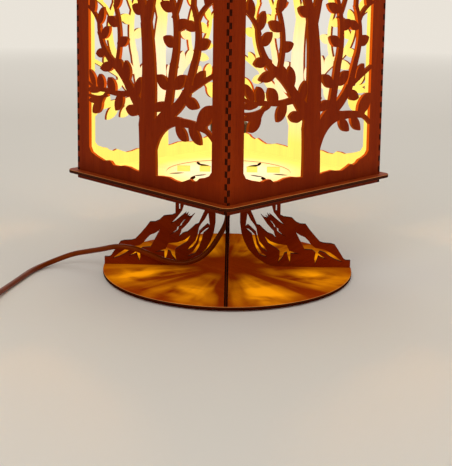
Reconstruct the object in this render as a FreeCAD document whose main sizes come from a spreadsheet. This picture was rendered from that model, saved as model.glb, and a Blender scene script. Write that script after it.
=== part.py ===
import FreeCAD, Part
import math
import os
import Sketcher
from FreeCAD import Placement, Rotation, Vector

# A plywood lantern that turns on a stand of four root-shaped legs.
# +Z is up, the origin is the middle of the stand's footprint on the table.
# The lantern's walls face -Y, +X, +Y and -X, and the legs lie on its diagonals.

doc = FreeCAD.newDocument("RootLantern")

# Driving sizes in millimetres, with counts and degrees where the name says so.
SIZES = {
    "ply": 3.0,
    "pad_height": 1.5,
    "pad_radius": 7.0,
    "pad_circle": 103.0,
    "base_radius": 117.0,
    "leg_height": 84.5,
    "leg_reach": 116.5,
    "leg_inner": 11.5,
    "leg_outer": 49.5,
    "tab_stand": 5.0,
    "inner_tab_start": 17.0,
    "inner_tab_end": 27.0,
    "outer_tab_start": 36.0,
    "outer_tab_end": 48.0,
    "foot_tab_start": 62.0,
    "foot_tab_end": 92.0,
    "hub_radius": 72.0,
    "centring_radius": 58.0,
    "running_gap": 0.1,
    "glide_thickness": 0.5,
    "glide_radius": 5.0,
    "glide_circle": 65.0,
    "wall_side": 200.0,
    "wall_height": 242.0,
    "wall_margin": 18.0,
    "finger": 5.0,
    "skirt": 5.0,
    "upper_skirt": 3.0,
    "rim_overhang": 8.0,
    "rim_corner": 8.0,
    "floor_tab_width": 30.0,
    "floor_tab_offset": 50.0,
    "lid_overhang": 3.0,
    "lid_corner": 5.0,
    "locator_gap": 0.3,
    "locator_bar": 22.0,
    "vent_length": 34.0,
    "vent_width": 9.0,
    "vent_circle": 50.0,
    "vent_count": 12,
    "knob_foot": 9.0,
    "knob_neck": 7.0,
    "knob_radius": 12.0,
    "knob_top": 8.0,
    "knob_foot_height": 7.0,
    "knob_flare_height": 6.0,
    "knob_crown_height": 7.0,
    "screw_radius": 1.7,
    "screw_head": 3.6,
    "screw_head_height": 2.0,
    "screw_length": 14.0,
    "stem_radius": 5.0,
    "stem_bore": 3.4,
    "stem_below": 4.0,
    "stem_above": 5.0,
    "washer_radius": 10.0,
    "washer_thickness": 1.0,
    "nut_flats": 15.0,
    "nut_height": 4.0,
    "grip_length": 20.0,
    "grip_radius": 5.0,
    "grip_tip": 3.4,
    "holder_radius": 14.0,
    "holder_wall": 1.6,
    "holder_floor": 3.0,
    "holder_base_height": 22.0,
    "holder_height": 56.0,
    "ring_radius": 17.5,
    "ring_height": 9.0,
    "insert_height": 12.0,
    "cap_radius": 6.8,
    "cap_height": 22.0,
    "shell_thickness": 0.5,
    "tip_radius": 2.5,
    "tip_height": 1.0,
    "bulb_radius": 14.0,
    "bulb_length": 64.0,
    "glass_thickness": 0.9,
    "filament_stem_radius": 1.6,
    "filament_stem_height": 45.0,
    "filament_disc_radius": 6.0,
    "filament_disc_height": 1.0,
    "filament_rod_radius": 0.8,
    "filament_rod_circle": 5.0,
    "filament_foot": 19.0,
    "filament_head": 43.5,
    "cord_diameter": 5.0,
    "switch_length": 60.0,
    "switch_width": 26.0,
    "switch_height": 18.0,
    "switch_shell": 1.8,
    "switch_corner": 6.0,
    "switch_clamp": 6.0,
    "switch_screw_radius": 1.3,
    "switch_screw_inset": 5.0,
    "switch_screw_length": 17.0,
    "contact_length": 8.0,
    "contact_width": 6.0,
    "contact_height": 3.0,
    "contact_spacing": 24.0,
    "rocker_length": 20.0,
    "rocker_width": 12.0,
    "rocker_gap": 0.4,
    "rocker_tilt": 8.0,
    "rocker_end_gap": 0.6,
    "rocker_crown": 2.6,
    "rocker_dish": 1.2,
    "rocker_skirt": 1.0,
    "rocker_keel": 5.0,
    "rocker_pin_radius": 1.2,
    "rocker_pin_drop": 3.5,
    "cheek_width": 2.0,
    "coil_turns": 6,
    "coil_mean_radius": 30.0,
    "coil_pitch": 5.6,
    "plug_length": 34.0,
    "plug_width": 35.0,
    "plug_height": 13.8,
    "plug_corner": 4.5,
    "relief_length": 24.0,
    "relief_tip": 3.5,
    "relief_root": 4.9,
    "pin_radius": 2.0,
    "pin_length": 19.0,
    "pin_spacing": 19.0,
}

# Heights above the table, each worked out from the sizes.
LEVELS = {
    "leg_level": "=pad_height + ply",
    "hub_level": "=leg_level + leg_height",
    "centring_level": "=hub_level + ply",
    "glide_level": "=hub_level + ply",
    "floor_level": "=glide_level + glide_thickness",
    "wall_level": "=floor_level - skirt",
    "wall_top": "=wall_level + wall_height",
    "upper_rim_level": "=wall_top - upper_skirt - ply",
    "holder_level": "=centring_level + ply",
    "stem_level": "=hub_level - washer_thickness - nut_height - stem_below",
    "grip_level": "=stem_level - grip_length",
    "cap_level": "=holder_level + holder_height - cap_height",
    "bulb_level": "=cap_level + cap_height",
    "locator_side": "=wall_side - 2 * ply - 2 * locator_gap",
}

sheet = doc.addObject("Spreadsheet::Sheet", "Sizes")
for row, (alias, entry) in enumerate({**SIZES, **LEVELS}.items(), start=1):
    sheet.set(f"A{row}", alias)
    sheet.set(f"B{row}", str(entry))
    sheet.setAlias(f"B{row}", alias)
doc.recompute()

WALLS = ("front", "right", "back", "left")
LEGS = ("front_right", "back_right", "back_left", "front_left")
LEG_STEPS = -0.5
UP = Vector(0, 0, 1)
TURN_ANGLE = 360.0
START_HALVES = (9.0, 8.0)
OVERSHOOT = 1.0
SMALLEST_OPENING = 3.0
PIN_CLEARANCE = 0.05
FILAMENT_RODS = 4

nodes = []


def size(alias):
    return float(sheet.get(alias))


def spaced(names, offset):
    """Each name with its angle about the axis. The offset from the front is in steps."""
    step = TURN_ANGLE / len(names)
    return [(name, (index + offset) * step) for index, name in enumerate(names)]


def bind(item, **expressions):
    """Tie properties to sheet expressions. x, y and z stand for the place."""
    for name, text in expressions.items():
        path = f"Placement.Base.{name}" if name in ("x", "y", "z") else name
        item.setExpression(path, text)
    return item


def keep(item, label):
    """Name a finished sub-part."""
    item.Label = label
    nodes.append(item)
    return item


def cylinder(name, radius, height, level, **place):
    item = doc.addObject("Part::Cylinder", name)
    return bind(item, Radius=radius, Height=height, z=level, **place)


def cone(name, lower, upper, height, level, **place):
    item = doc.addObject("Part::Cone", name)
    return bind(item, Radius1=lower, Radius2=upper, Height=height, z=level, **place)


def block(name, length, width, height, **place):
    item = doc.addObject("Part::Box", name)
    return bind(item, Length=length, Width=width, Height=height, **place)


def cut(name, base, tool):
    item = doc.addObject("Part::Cut", name)
    item.Base = base
    item.Tool = tool
    return item


def fuse(name, shapes):
    item = doc.addObject("Part::MultiFuse", name)
    item.Shapes = shapes
    return item


def group(name, shapes):
    item = doc.addObject("Part::Compound", name)
    item.Links = shapes
    return item


def turned(name, shapes, angle, place=Vector(0, 0, 0)):
    """The same shapes, turned about a vertical axis."""
    item = group(name, shapes)
    item.Placement = Placement(place, Rotation(UP, angle))
    return item


def tube(name, outer, inner, height, level, **place):
    outside = cylinder(f"{name}_outside", outer, height, level, **place)
    longer = f"{height} + {2 * OVERSHOOT}"
    bore = cylinder(f"{name}_bore", inner, longer, f"{level} - {OVERSHOOT}", **place)
    return cut(name, outside, bore)


# Sketches and bodies for the pieces that are sawn, turned or moulded.


def plane_of(body, role):
    for feature in body.Origin.OriginFeatures:
        if feature.Role == role:
            return feature
    raise ValueError(role)


def new_sketch(body, name, role="XY_Plane"):
    sketch = body.newObject("Sketcher::SketchObject", name)
    sketch.AttachmentSupport = [(plane_of(body, role), "")]
    sketch.MapMode = "FlatFace"
    return sketch


def rectangle(sketch, width, depth):
    """A rectangle about the sketch's origin, its two sizes bound to expressions."""
    half_width, half_depth = START_HALVES
    signs = [(-1, -1), (1, -1), (1, 1), (-1, 1)]
    corners = [Vector(x * half_width, y * half_depth, 0) for x, y in signs]
    for index, corner in enumerate(corners):
        following = corners[(index + 1) % 4]
        sketch.addGeometry(Part.LineSegment(corner, following), False)
    for index in range(4):
        sketch.addConstraint(Sketcher.Constraint("Coincident", index, 2, (index + 1) % 4, 1))
    for index in (0, 2):
        sketch.addConstraint(Sketcher.Constraint("Horizontal", index))
        sketch.addConstraint(Sketcher.Constraint("Vertical", index + 1))
    sketch.addConstraint(Sketcher.Constraint("Symmetric", 0, 1, 2, 1, -1, 1))
    across = sketch.addConstraint(Sketcher.Constraint("DistanceX", 0, 1, 0, 2, 2 * half_width))
    along = sketch.addConstraint(Sketcher.Constraint("DistanceY", 1, 1, 1, 2, 2 * half_depth))
    sketch.setExpression(f"Constraints[{across}]", width)
    sketch.setExpression(f"Constraints[{along}]", depth)


def pad(body, name, sketch, length):
    feature = body.newObject("PartDesign::Pad", name)
    feature.Profile = sketch
    feature.setExpression("Length", length)
    return feature


def pocket_through(body, name, sketch):
    """A pocket that runs up through the whole solid from the sketch's plane."""
    doc.recompute()
    before = body.Shape.Volume
    feature = body.newObject("PartDesign::Pocket", name)
    feature.Profile = sketch
    feature.Type = "ThroughAll"
    feature.Reversed = True
    doc.recompute()
    if body.Shape.Volume >= before:
        raise ValueError(f"{name} cuts nothing")
    return feature


def upright_edges(shape):
    names = []
    for index, edge in enumerate(shape.Edges, start=1):
        direction = edge.tangentAt(edge.FirstParameter)
        if abs(abs(direction.z) - 1) < 1e-6:
            names.append(f"Edge{index}")
    return names


def level_edges(shape, height):
    names = []
    for index, edge in enumerate(shape.Edges, start=1):
        box = edge.BoundBox
        if abs(box.ZMin - height) < 1e-6 and abs(box.ZMax - height) < 1e-6:
            names.append(f"Edge{index}")
    return names


def round_edges(body, name, base, edges, radius):
    feature = body.newObject("PartDesign::Fillet", name)
    feature.Base = (base, edges)
    feature.setExpression("Radius", radius)
    return feature


def square_plate(label, side, corner, level):
    """A square of plywood with rounded corners, and its body."""
    body = doc.addObject("PartDesign::Body", label)
    outline = new_sketch(body, f"{label}_outline")
    rectangle(outline, side, side)
    plate = pad(body, f"{label}_pad", outline, "Sizes.ply")
    doc.recompute()
    round_edges(body, f"{label}_corners", plate, upright_edges(plate.Shape), corner)
    bind(body, z=level)
    return body


# Flat outlines for the fretwork, drawn in the XY plane and stood up afterwards.


def flat(point):
    return Vector(point[0], point[1], 0)


def polygon(points):
    corners = [flat(point) for point in points]
    return Part.Face(Part.makePolygon(corners + corners[:1]))


def limb(start, middle, end, base_width, tip_width):
    """A tapering bough along the arc through three points."""
    points = [flat(start), flat(middle), flat(end)]
    widths = [base_width, (base_width + tip_width) / 2, tip_width]
    headings = [points[1] - points[0], points[2] - points[0], points[2] - points[1]]
    left, right = [], []
    for point, width, heading in zip(points, widths, headings):
        side = Vector(-heading.y, heading.x, 0).normalize() * (width / 2)
        left.append(point + side)
        right.append(point - side)
    edges = [
        Part.Arc(*left).toShape(),
        Part.LineSegment(left[2], right[2]).toShape(),
        Part.Arc(right[2], right[1], right[0]).toShape(),
        Part.LineSegment(right[0], left[0]).toShape(),
    ]
    return Part.Face(Part.Wire(edges))


def leaf(base, tip, width):
    """A pointed leaf, widest a little nearer to its base."""
    root, point = flat(base), flat(tip)
    heading = point - root
    side = Vector(-heading.y, heading.x, 0).normalize() * (width / 2)
    belly = root + heading * 0.46
    edges = [
        Part.Arc(root, belly + side, point).toShape(),
        Part.Arc(point, belly - side, root).toShape(),
    ]
    return Part.Face(Part.Wire(edges))


def stood_up(face):
    """Turn a flat drawing so that its second axis points up."""
    copy = face.copy()
    copy.rotate(Vector(0, 0, 0), Vector(1, 0, 0), 90)
    return copy


# The tree on each wall: across from the wall's middle line, and up from the drawing's lower edge.
# It was drawn on a wall this wide and high, with this much of it below the floor ring.
TREE_SIDE = 200.0
TREE_HEIGHT = 240.0
TREE_SKIRT = 3.0
LIMBS = [
    ((1.5, 8), (1.7, 35), (0.2, 60.5), 22.5, 20.5),
    ((0, 56.5), (3, 100.5), (-1, 146.5), 20.5, 13),
    ((3, 36.5), (14, 57.5), (31, 73.5), 17, 11),
    ((27, 70.5), (40, 78.5), (50, 90.5), 10, 8.5),
    ((50, 87.5), (54.5, 100.5), (60, 116.5), 8.5, 6.5),
    ((52, 91.5), (67, 99.5), (85, 108.5), 5, 3.2),
    ((25, 66.5), (29.5, 86.5), (34.5, 113.5), 9.5, 7.5),
    ((10, 47.5), (26, 63), (46, 65.5), 12, 7.5),
    ((43, 65.5), (57, 65.5), (74, 63), 7.5, 5.5),
    ((68, 64), (77, 60.5), (85, 53), 4.5, 3),
    ((-2, 66.5), (-15, 80.5), (-26, 92.5), 13, 8.5),
    ((-24, 90.5), (-34, 101), (-48, 110.5), 8.5, 7),
    ((-21, 84.5), (-39, 82.5), (-60, 84.5), 6, 3.6),
    ((-58, 84), (-70, 84.5), (-85, 90.5), 3.6, 2.4),
    ((-54, 82.5), (-59, 79), (-64, 71.5), 3.4, 2.6),
    ((-54, 80.5), (-66, 77), (-85, 78), 3, 2.2),
    ((-46, 109), (-60, 122.5), (-67, 144.5), 6.8, 4),
    ((-65, 138.5), (-72, 150.5), (-86, 159.5), 3.4, 2.4),
    ((-42, 106.5), (-37, 132.5), (-44, 160.5), 5, 3.2),
    ((34, 110.5), (38, 138.5), (29, 172.5), 7.5, 4.2),
    ((34, 150.5), (43, 168.5), (49, 194.5), 4, 2.8),
    ((59, 113.5), (64, 136.5), (57, 162.5), 6.5, 4.2),
    ((62, 146.5), (71, 159.5), (87, 166.5), 4, 2.6),
    ((58, 158.5), (61, 182.5), (73, 206.5), 4.2, 2.8),
    ((-1, 142.5), (-10, 170.5), (-32, 198.5), 11, 5),
    ((-1, 142.5), (9, 180.5), (13, 226.5), 10, 4.2),
    ((7, 166.5), (24, 184.5), (38, 212.5), 5, 3),
    ((12, 198.5), (1, 212), (-9, 226.5), 4, 2.6),
    ((-10, 170.5), (-28, 178.5), (-50, 182.5), 4.4, 2.8),
    ((-28, 194.5), (-30, 210.5), (-21, 226.5), 4, 2.6),
    ((-44, 182.5), (-60, 196.5), (-68, 216.5), 3.4, 2.4),
]
LEAVES = [
    ((38, 62.5), (52, 51), 9.5),
    ((54, 64.5), (68.5, 50), 9.5),
    ((64, 64.5), (83, 83), 14),
    ((48, 85.5), (65, 80), 9.5),
    ((60, 94.5), (71, 110.5), 9.5),
    ((29, 91.5), (13.5, 103), 10),
    ((35, 92.5), (49, 105), 10),
    ((26, 79.5), (8, 73), 8.5),
    ((-25, 93.5), (-28.5, 112.5), 10),
    ((-14, 80.5), (-8.5, 99.5), 9),
    ((-62, 82.5), (-66, 98), 10.5),
    ((-44, 81.5), (-53, 96), 11),
    ((-33, 83.5), (-42.5, 67), 10.5),
    ((-62.5, 73.5), (-76.5, 62), 10.5),
    ((-11, 68.5), (-28, 70.5), 10),
    ((-62, 75.5), (-83, 72.5), 6.5),
    ((-66, 83.5), (-84, 82.5), 6.5),
    ((-71, 85.5), (-81, 101), 7),
    ((-44.5, 107.5), (-65, 103), 9),
    ((-34, 99.5), (-38, 113.5), 7.5),
    ((-56, 118), (-71, 116), 8.5),
    ((-63, 130), (-51, 141), 9),
    ((-66, 142), (-60, 158), 8.5),
    ((-74, 152), (-77, 168), 8),
    ((-40, 126), (-25, 131), 9),
    ((-39, 142), (-54, 149), 9),
    ((-43, 156), (-36, 172), 8.5),
    ((37, 128), (22, 135), 9.5),
    ((36, 142), (51, 149), 9.5),
    ((35, 157), (18, 163), 9),
    ((30, 170), (24, 186), 8.5),
    ((45, 174), (61, 176), 9),
    ((47, 186), (43, 203), 8.5),
    ((62, 128), (77, 134), 9.5),
    ((62, 142), (47, 148), 8.5),
    ((73, 161), (78, 176), 8.5),
    ((60, 176), (73, 185), 9),
    ((65, 192), (53, 201), 8.5),
    ((-4, 154), (-19, 160), 9.5),
    ((-16, 178), (-11, 194), 9),
    ((-30, 178), (-39, 166), 8.5),
    ((-34, 180), (-42, 194), 9),
    ((-47, 183), (-66, 181), 8.5),
    ((-58, 196), (-73, 197), 8.5),
    ((-62, 202), (-52, 214), 8.5),
    ((-29, 202), (-43, 210), 8.5),
    ((9, 180), (-4, 188), 8.5),
    ((18, 178), (30, 173), 8),
    ((27, 190), (17, 202), 8.5),
    ((33, 200), (48, 214), 8.5),
    ((12, 206), (26, 216), 8.5),
]
# The top of the earth that the tree stands on, from the left jamb to the right one.
EARTH = [
    (-82, 29.5), (-79, 25), (-72, 22.5), (-66, 21), (-60, 19.5), (-55, 20.5), (-50, 20.5),
    (-46, 17.5), (-39, 17.5), (-32, 19), (-23, 19), (-15, 17.5), (-8, 17), (12, 16.5),
    (20, 17.5), (30, 18), (37, 16.5), (44, 16), (50, 18), (56, 20.5), (60, 19), (65, 20.5),
    (68, 23), (73, 24), (79, 26.5), (82, 30),
]
WINDOW_NOTCH = 7.0


def wall_outline():
    """The wall's blank with finger joints. Its right edge fills the left edge's gaps."""
    half = size("wall_side") / 2
    height = size("wall_height")
    thickness = size("ply")
    pairs = round(height / size("finger") / 2)
    step = height / (2 * pairs)
    left, right = [], []
    for index in range(2 * pairs):
        outward = index % 2 == 0
        left_edge = -half if outward else thickness - half
        right_edge = half - thickness if outward else half
        left += [(left_edge, index * step), (left_edge, (index + 1) * step)]
        right += [(right_edge, index * step), (right_edge, (index + 1) * step)]
    return polygon(right + left[::-1])


def on_wall(point):
    """A point of the drawing on the real wall, which it fills above the floor ring."""
    across = size("wall_side") / TREE_SIDE
    up = (size("wall_height") - size("skirt")) / (TREE_HEIGHT - TREE_SKIRT)
    return point[0] * across, (point[1] - TREE_SKIRT) * up + size("skirt")


def wall_window():
    """The opening inside the wall's frame, with the wavy earth as its lower edge."""
    jamb = size("wall_side") / 2 - size("wall_margin")
    head = size("wall_height") - size("wall_margin")
    ground = [on_wall(point) for point in EARTH]
    lower = [(-jamb, ground[0][1])] + ground[1:-1] + [(jamb, ground[-1][1])]
    upper = [
        (jamb, head - WINDOW_NOTCH),
        (jamb - WINDOW_NOTCH, head),
        (WINDOW_NOTCH - jamb, head),
        (-jamb, head - WINDOW_NOTCH),
    ]
    return polygon(lower + upper)


def wall_shape():
    """One wall, its outer face at y = -ply and its inner face at y = 0."""
    tree = [limb(on_wall(a), on_wall(b), on_wall(c), wide, thin) for a, b, c, wide, thin in LIMBS]
    tree += [leaf(on_wall(base), on_wall(tip), width) for base, tip, width in LEAVES]
    openings = wall_window().cut(tree)
    open_faces = [face for face in openings.Faces if face.Area > SMALLEST_OPENING]
    half_tab = size("floor_tab_width") / 2
    for side in (-1, 1):
        middle = side * size("floor_tab_offset")
        low = size("skirt")
        high = low + size("ply")
        corners = [(middle - half_tab, low), (middle + half_tab, low)]
        corners += [(middle + half_tab, high), (middle - half_tab, high)]
        open_faces.append(polygon(corners))
    panel = wall_outline().cut(open_faces)
    solid = stood_up(panel).extrude(Vector(0, -size("ply"), 0))
    return solid.Solids[0] if len(solid.Solids) == 1 else solid


def make_walls():
    shape = wall_shape()
    inner_face = size("wall_side") / 2 - size("ply")
    for side, angle in spaced(WALLS, 0):
        wall = doc.addObject("Part::Feature", f"wall_{side}")
        wall.Shape = shape
        turn = Rotation(UP, angle)
        place = turn.multVec(Vector(0, -inner_face, 0)) + UP * size("wall_level")
        wall.Placement = Placement(place, turn)
        keep(wall, f"wall_{side}")


# The legs: out from the lamp's axis, and up from the base disc.
# They were drawn with this reach and this height.
LEG_DRAWING = (116.5, 84.5)
LEG_BACK = [
    (116.5, 7), (112.5, 7), (110.5, 8), (105.5, 16), (101.5, 22), (98, 23), (91, 23.5), (87.5, 24.5),
    (82.5, 30), (77.5, 36), (73.5, 41.5), (68.5, 41.7), (64.5, 43.5), (60.5, 47.5), (52.5, 48.5), (50, 50),
]
LEG_HEEL = [(46, 0), (41, 0.8), (35, 3.4), (27, 8.8), (20, 16.2), (15.8, 24), (13, 32.5), (11.5, 42)]
LEG_OPENINGS = {
    "upper": [
        (20, 76), (21.5, 54), (25.5, 45), (27.5, 40.5), (30.5, 39.5), (34, 36), (38, 32.5), (42.5, 31),
        (46, 27.5), (44, 32), (43.5, 34.5), (40.5, 37.5), (37, 41.5), (34, 46), (31, 50.5),
        (34.5, 47.5), (37.5, 47), (35.5, 49.5), (38, 47.5), (37, 51.5), (39.5, 49), (39, 51.5),
        (41.5, 49.5), (45, 46.5), (49, 43), (54, 40), (51.5, 42.5), (47, 47.5), (43, 53),
        (41.5, 58), (41.5, 76),
    ],
    "slit": [(45, 54), (46.1, 54), (46.4, 76), (45.2, 76)],
    "crack": [
        (38.6, 45.8), (41.5, 43.5), (44, 40.5), (45, 38), (47.5, 37), (48, 34.5), (51, 32), (56, 28.5),
        (50.5, 31.5), (47, 34), (46.5, 36.5), (44, 38), (43, 40.5), (40.5, 43.5),
    ],
    "inner_right": [
        (18.5, 51), (21.5, 45), (25, 40.5), (27, 37), (28, 31.5), (30, 24.5), (33, 21), (36.5, 17),
        (38, 14), (33, 17.5), (30, 21.5), (28, 27.5), (27, 33), (23.5, 36.5), (19, 40.5), (17, 38.5),
        (17.5, 43.5),
    ],
    "inner_left": [
        (16.5, 37.5), (20, 36), (22.5, 34), (25.5, 31), (26.5, 27), (27.5, 21.5), (30.5, 16.5),
        (32.5, 13.5), (36, 11), (37.5, 9), (33.5, 10), (30.5, 11.5), (27.5, 16.5), (25.5, 21.5),
        (24, 26.5), (23, 31.5), (20, 34),
    ],
    "star": [
        (34.5, 29.5), (40.5, 24.5), (47.5, 22), (56, 21), (58.5, 15.5), (63, 14), (69.5, 12.5), (63, 13),
        (59.8, 13), (59.8, 9), (59.5, 3.5), (57.5, 9), (56.5, 14), (54, 13), (52.5, 9), (48, 3.5),
        (49.5, 10), (49.5, 15), (46.5, 17.5), (42.5, 20), (38.5, 22.5),
    ],
    "outer": [
        (62.5, 37.5), (65, 33), (69, 30.5), (73, 29), (76.5, 25.5), (79, 22), (83.5, 18.5), (91, 17.5),
        (97, 14.5), (103, 10.5), (109.5, 5), (102.5, 7.5), (97, 10.5), (92.5, 14), (87.5, 15.5),
        (86, 13.5), (89, 11), (94.5, 7.5), (89, 9.5), (86, 11), (85, 7), (83.5, 3), (82.5, 7.5),
        (83, 11.5), (83.5, 14), (80.5, 16.5), (73, 17), (70.5, 21.5), (67.5, 27.5),
    ],
}


def leg_shape():
    """One leg standing in the XZ plane, its foot tab below z = 0."""
    out = size("leg_reach") / LEG_DRAWING[0]
    up = size("leg_height") / LEG_DRAWING[1]
    height = size("leg_height")
    inner = size("leg_inner")
    outer = size("leg_outer")
    tab_top = height + 2 * size("ply") + size("tab_stand")

    def placed(points):
        return [(x * out, y * up) for x, y in points]

    heel = placed(LEG_HEEL)[:-1] + [(inner, LEG_HEEL[-1][1] * up)]
    outline = [(inner, height)]
    for tab in ("inner_tab", "outer_tab"):
        start = size(f"{tab}_start")
        end = size(f"{tab}_end")
        outline += [(start, height), (start, tab_top), (end, tab_top), (end, height)]
    outline += [(outer, height), (outer, placed(LEG_BACK)[-1][1])]
    outline += placed(LEG_BACK)[::-1][1:]
    outline += [(size("leg_reach"), 0)]
    foot_start = size("foot_tab_start")
    foot_end = size("foot_tab_end")
    foot = -size("ply")
    outline += [(foot_end, 0), (foot_end, foot), (foot_start, foot), (foot_start, 0)]
    outline += heel
    holes = [polygon(placed(points)) for points in LEG_OPENINGS.values()]
    profile = stood_up(polygon(outline).cut(holes))
    profile.translate(Vector(0, -size("ply") / 2, 0))
    solid = profile.extrude(Vector(0, size("ply"), 0))
    return solid.Solids[0] if len(solid.Solids) == 1 else solid


def make_legs():
    shape = leg_shape()
    for corner, angle in spaced(LEGS, LEG_STEPS):
        leg = doc.addObject("Part::Feature", f"leg_{corner}")
        leg.Shape = shape
        leg.Placement = Placement(UP * size("leg_level"), Rotation(UP, angle))
        keep(leg, f"leg_{corner}")


def leg_slots(name, tabs, level):
    """Slots for the legs' tabs, repeated on the four diagonals."""
    slots = []
    for tab in tabs:
        slots.append(
            block(
                f"{name}_{tab}",
                f"Sizes.{tab}_end - Sizes.{tab}_start",
                "Sizes.ply",
                f"Sizes.ply + {2 * OVERSHOOT}",
                x=f"Sizes.{tab}_start",
                y="-Sizes.ply / 2",
                z=f"{level} - {OVERSHOOT}",
            )
        )
    around = [turned(f"{name}_{corner}", slots, angle) for corner, angle in spaced(LEGS, LEG_STEPS)]
    return group(f"{name}_slots", around)


def ring_of_cylinders(label, radius, height, level, circle, count):
    """Identical round pads on a circle."""
    pads = []
    for index in range(count):
        angle = index * TURN_ANGLE / count
        pads.append(
            cylinder(
                f"{label}_{index}",
                radius,
                height,
                level,
                x=f"{circle} * cos({angle} deg)",
                y=f"{circle} * sin({angle} deg)",
            )
        )
    return keep(group(label, pads), label)


# Pointed slits in the disc under the bulb: root, tip and width, mirrored left and right.
# The first axis runs from the left legs to the right ones, the second away from the front leg.
# They were drawn on a disc of this radius.
SLIT_DRAWING = (58.0,)
ROOT_SLITS = [
    ((41, -8), (55, -13), 5),
    ((20, -14), (32, -23), 4.4),
    ((31, -21), (33, -41), 4.4),
    ((17, 22), (31, 39), 7),
    ((29, 34), (31, 49), 3.6),
    ((37, 20), (49, 10), 4),
]


def root_slits():
    """The slits as one tool, turned to the legs' diagonals."""
    scale = size("centring_radius") / SLIT_DRAWING[0]
    faces = []
    for root, tip, width in ROOT_SLITS:
        for side in (-scale, scale):
            base = (side * root[0], scale * root[1])
            point = (side * tip[0], scale * tip[1])
            faces.append(leaf(base, point, scale * width))
    joined = faces[0].fuse(faces[1:])
    tool = doc.addObject("Part::Feature", "centring_slits")
    tool.Shape = joined.extrude(UP * (size("ply") + 2 * OVERSHOOT))
    turn = Rotation(UP, -LEG_STEPS * TURN_ANGLE / len(LEGS))
    tool.Placement = Placement(UP * (size("centring_level") - OVERSHOOT), turn)
    return tool


def make_stand():
    disc = cylinder("base_blank", "Sizes.base_radius", "Sizes.ply", "Sizes.pad_height")
    keep(cut("base_disc", disc, leg_slots("base", ["foot_tab"], "Sizes.pad_height")), "base_disc")
    ring_of_cylinders("foot_pads", "Sizes.pad_radius", "Sizes.pad_height", "0", "Sizes.pad_circle", 4)
    tabs = ["inner_tab", "outer_tab"]
    for label, radius, level in (
        ("hub_plate", "Sizes.hub_radius", "Sizes.hub_level"),
        ("centring_disc", "Sizes.centring_radius", "Sizes.centring_level"),
    ):
        blank = cylinder(f"{label}_blank", radius, "Sizes.ply", level)
        hole = cylinder(
            f"{label}_hole", "Sizes.stem_radius", f"Sizes.ply + {2 * OVERSHOOT}", f"{level} - {OVERSHOOT}"
        )
        tools = [hole, leg_slots(label, tabs, level)]
        if label == "centring_disc":
            tools.append(root_slits())
        keep(cut(label, blank, group(f"{label}_tools", tools)), label)
    ring_of_cylinders(
        "glide_pads",
        "Sizes.glide_radius",
        "Sizes.glide_thickness",
        "Sizes.glide_level",
        "Sizes.glide_circle",
        6,
    )


def make_lantern_plates():
    """The floor ring inside the walls and the two rims outside them."""
    floor_side = "Sizes.wall_side - 2 * Sizes.ply"
    blank = block(
        "floor_blank",
        floor_side,
        floor_side,
        "Sizes.ply",
        x="Sizes.ply - Sizes.wall_side / 2",
        y="Sizes.ply - Sizes.wall_side / 2",
        z="Sizes.floor_level",
    )
    tabs = []
    for number, sign in enumerate(("-", "+")):
        for edge, across in (("near", "-Sizes.wall_side / 2"), ("far", "Sizes.wall_side / 2 - Sizes.ply")):
            middle = f"0 {sign} Sizes.floor_tab_offset"
            along = f"{middle} - Sizes.floor_tab_width / 2"
            tabs.append(
                block(
                    f"floor_tab_{edge}_{number}_along",
                    "Sizes.floor_tab_width",
                    "Sizes.ply",
                    "Sizes.ply",
                    x=along,
                    y=across,
                    z="Sizes.floor_level",
                )
            )
            tabs.append(
                block(
                    f"floor_tab_{edge}_{number}_across",
                    "Sizes.ply",
                    "Sizes.floor_tab_width",
                    "Sizes.ply",
                    x=across,
                    y=along,
                    z="Sizes.floor_level",
                )
            )
    board = fuse("floor_board", [blank] + tabs)
    hole = cylinder(
        "floor_hole",
        "Sizes.centring_radius + Sizes.running_gap",
        f"Sizes.ply + {2 * OVERSHOOT}",
        f"Sizes.floor_level - {OVERSHOOT}",
    )
    keep(cut("floor_ring", board, hole), "floor_ring")
    for label, level in (("lower_rim", "Sizes.floor_level"), ("upper_rim", "Sizes.upper_rim_level")):
        rim = square_plate(label, "Sizes.wall_side + 2 * Sizes.rim_overhang", "Sizes.rim_corner", level)
        opening = new_sketch(rim, f"{label}_opening")
        rectangle(opening, "Sizes.wall_side", "Sizes.wall_side")
        pocket_through(rim, f"{label}_pocket", opening)
        keep(rim, label)


def vent_face():
    half = size("vent_length") / 2
    middle = size("vent_circle")
    return leaf((middle - half, 0), (middle + half, 0), size("vent_width"))


def make_lid():
    plate = square_plate(
        "lid_blank", "Sizes.wall_side + 2 * Sizes.lid_overhang", "Sizes.lid_corner", "Sizes.wall_top"
    )
    vents = []
    count = round(size("vent_count"))
    for index in range(count):
        vent = vent_face().extrude(UP * (size("ply") + 2 * OVERSHOOT))
        vent.rotate(Vector(0, 0, 0), UP, index * TURN_ANGLE / count)
        vents.append(vent)
    vent_ring = doc.addObject("Part::Feature", "lid_vents")
    vent_ring.Shape = Part.makeCompound(vents)
    vent_ring.Placement = Placement(UP * (size("wall_top") - OVERSHOOT), Rotation())
    screw_hole = cylinder(
        "lid_screw_hole",
        "Sizes.screw_radius",
        f"Sizes.ply + {2 * OVERSHOOT}",
        f"Sizes.wall_top - {OVERSHOOT}",
    )
    keep(cut("lid_plate", plate, group("lid_tools", [vent_ring, screw_hole])), "lid_plate")
    locator = doc.addObject("PartDesign::Body", "lid_locator")
    outline = new_sketch(locator, "locator_outline")
    rectangle(outline, "Sizes.locator_side", "Sizes.locator_side")
    pad(locator, "locator_pad", outline, "Sizes.ply")
    opening = new_sketch(locator, "locator_opening")
    inside = "Sizes.locator_side - 2 * Sizes.locator_bar"
    rectangle(opening, inside, inside)
    pocket_through(locator, "locator_pocket", opening)
    bind(locator, z="Sizes.wall_top - Sizes.ply")
    keep(locator, "lid_locator")


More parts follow.
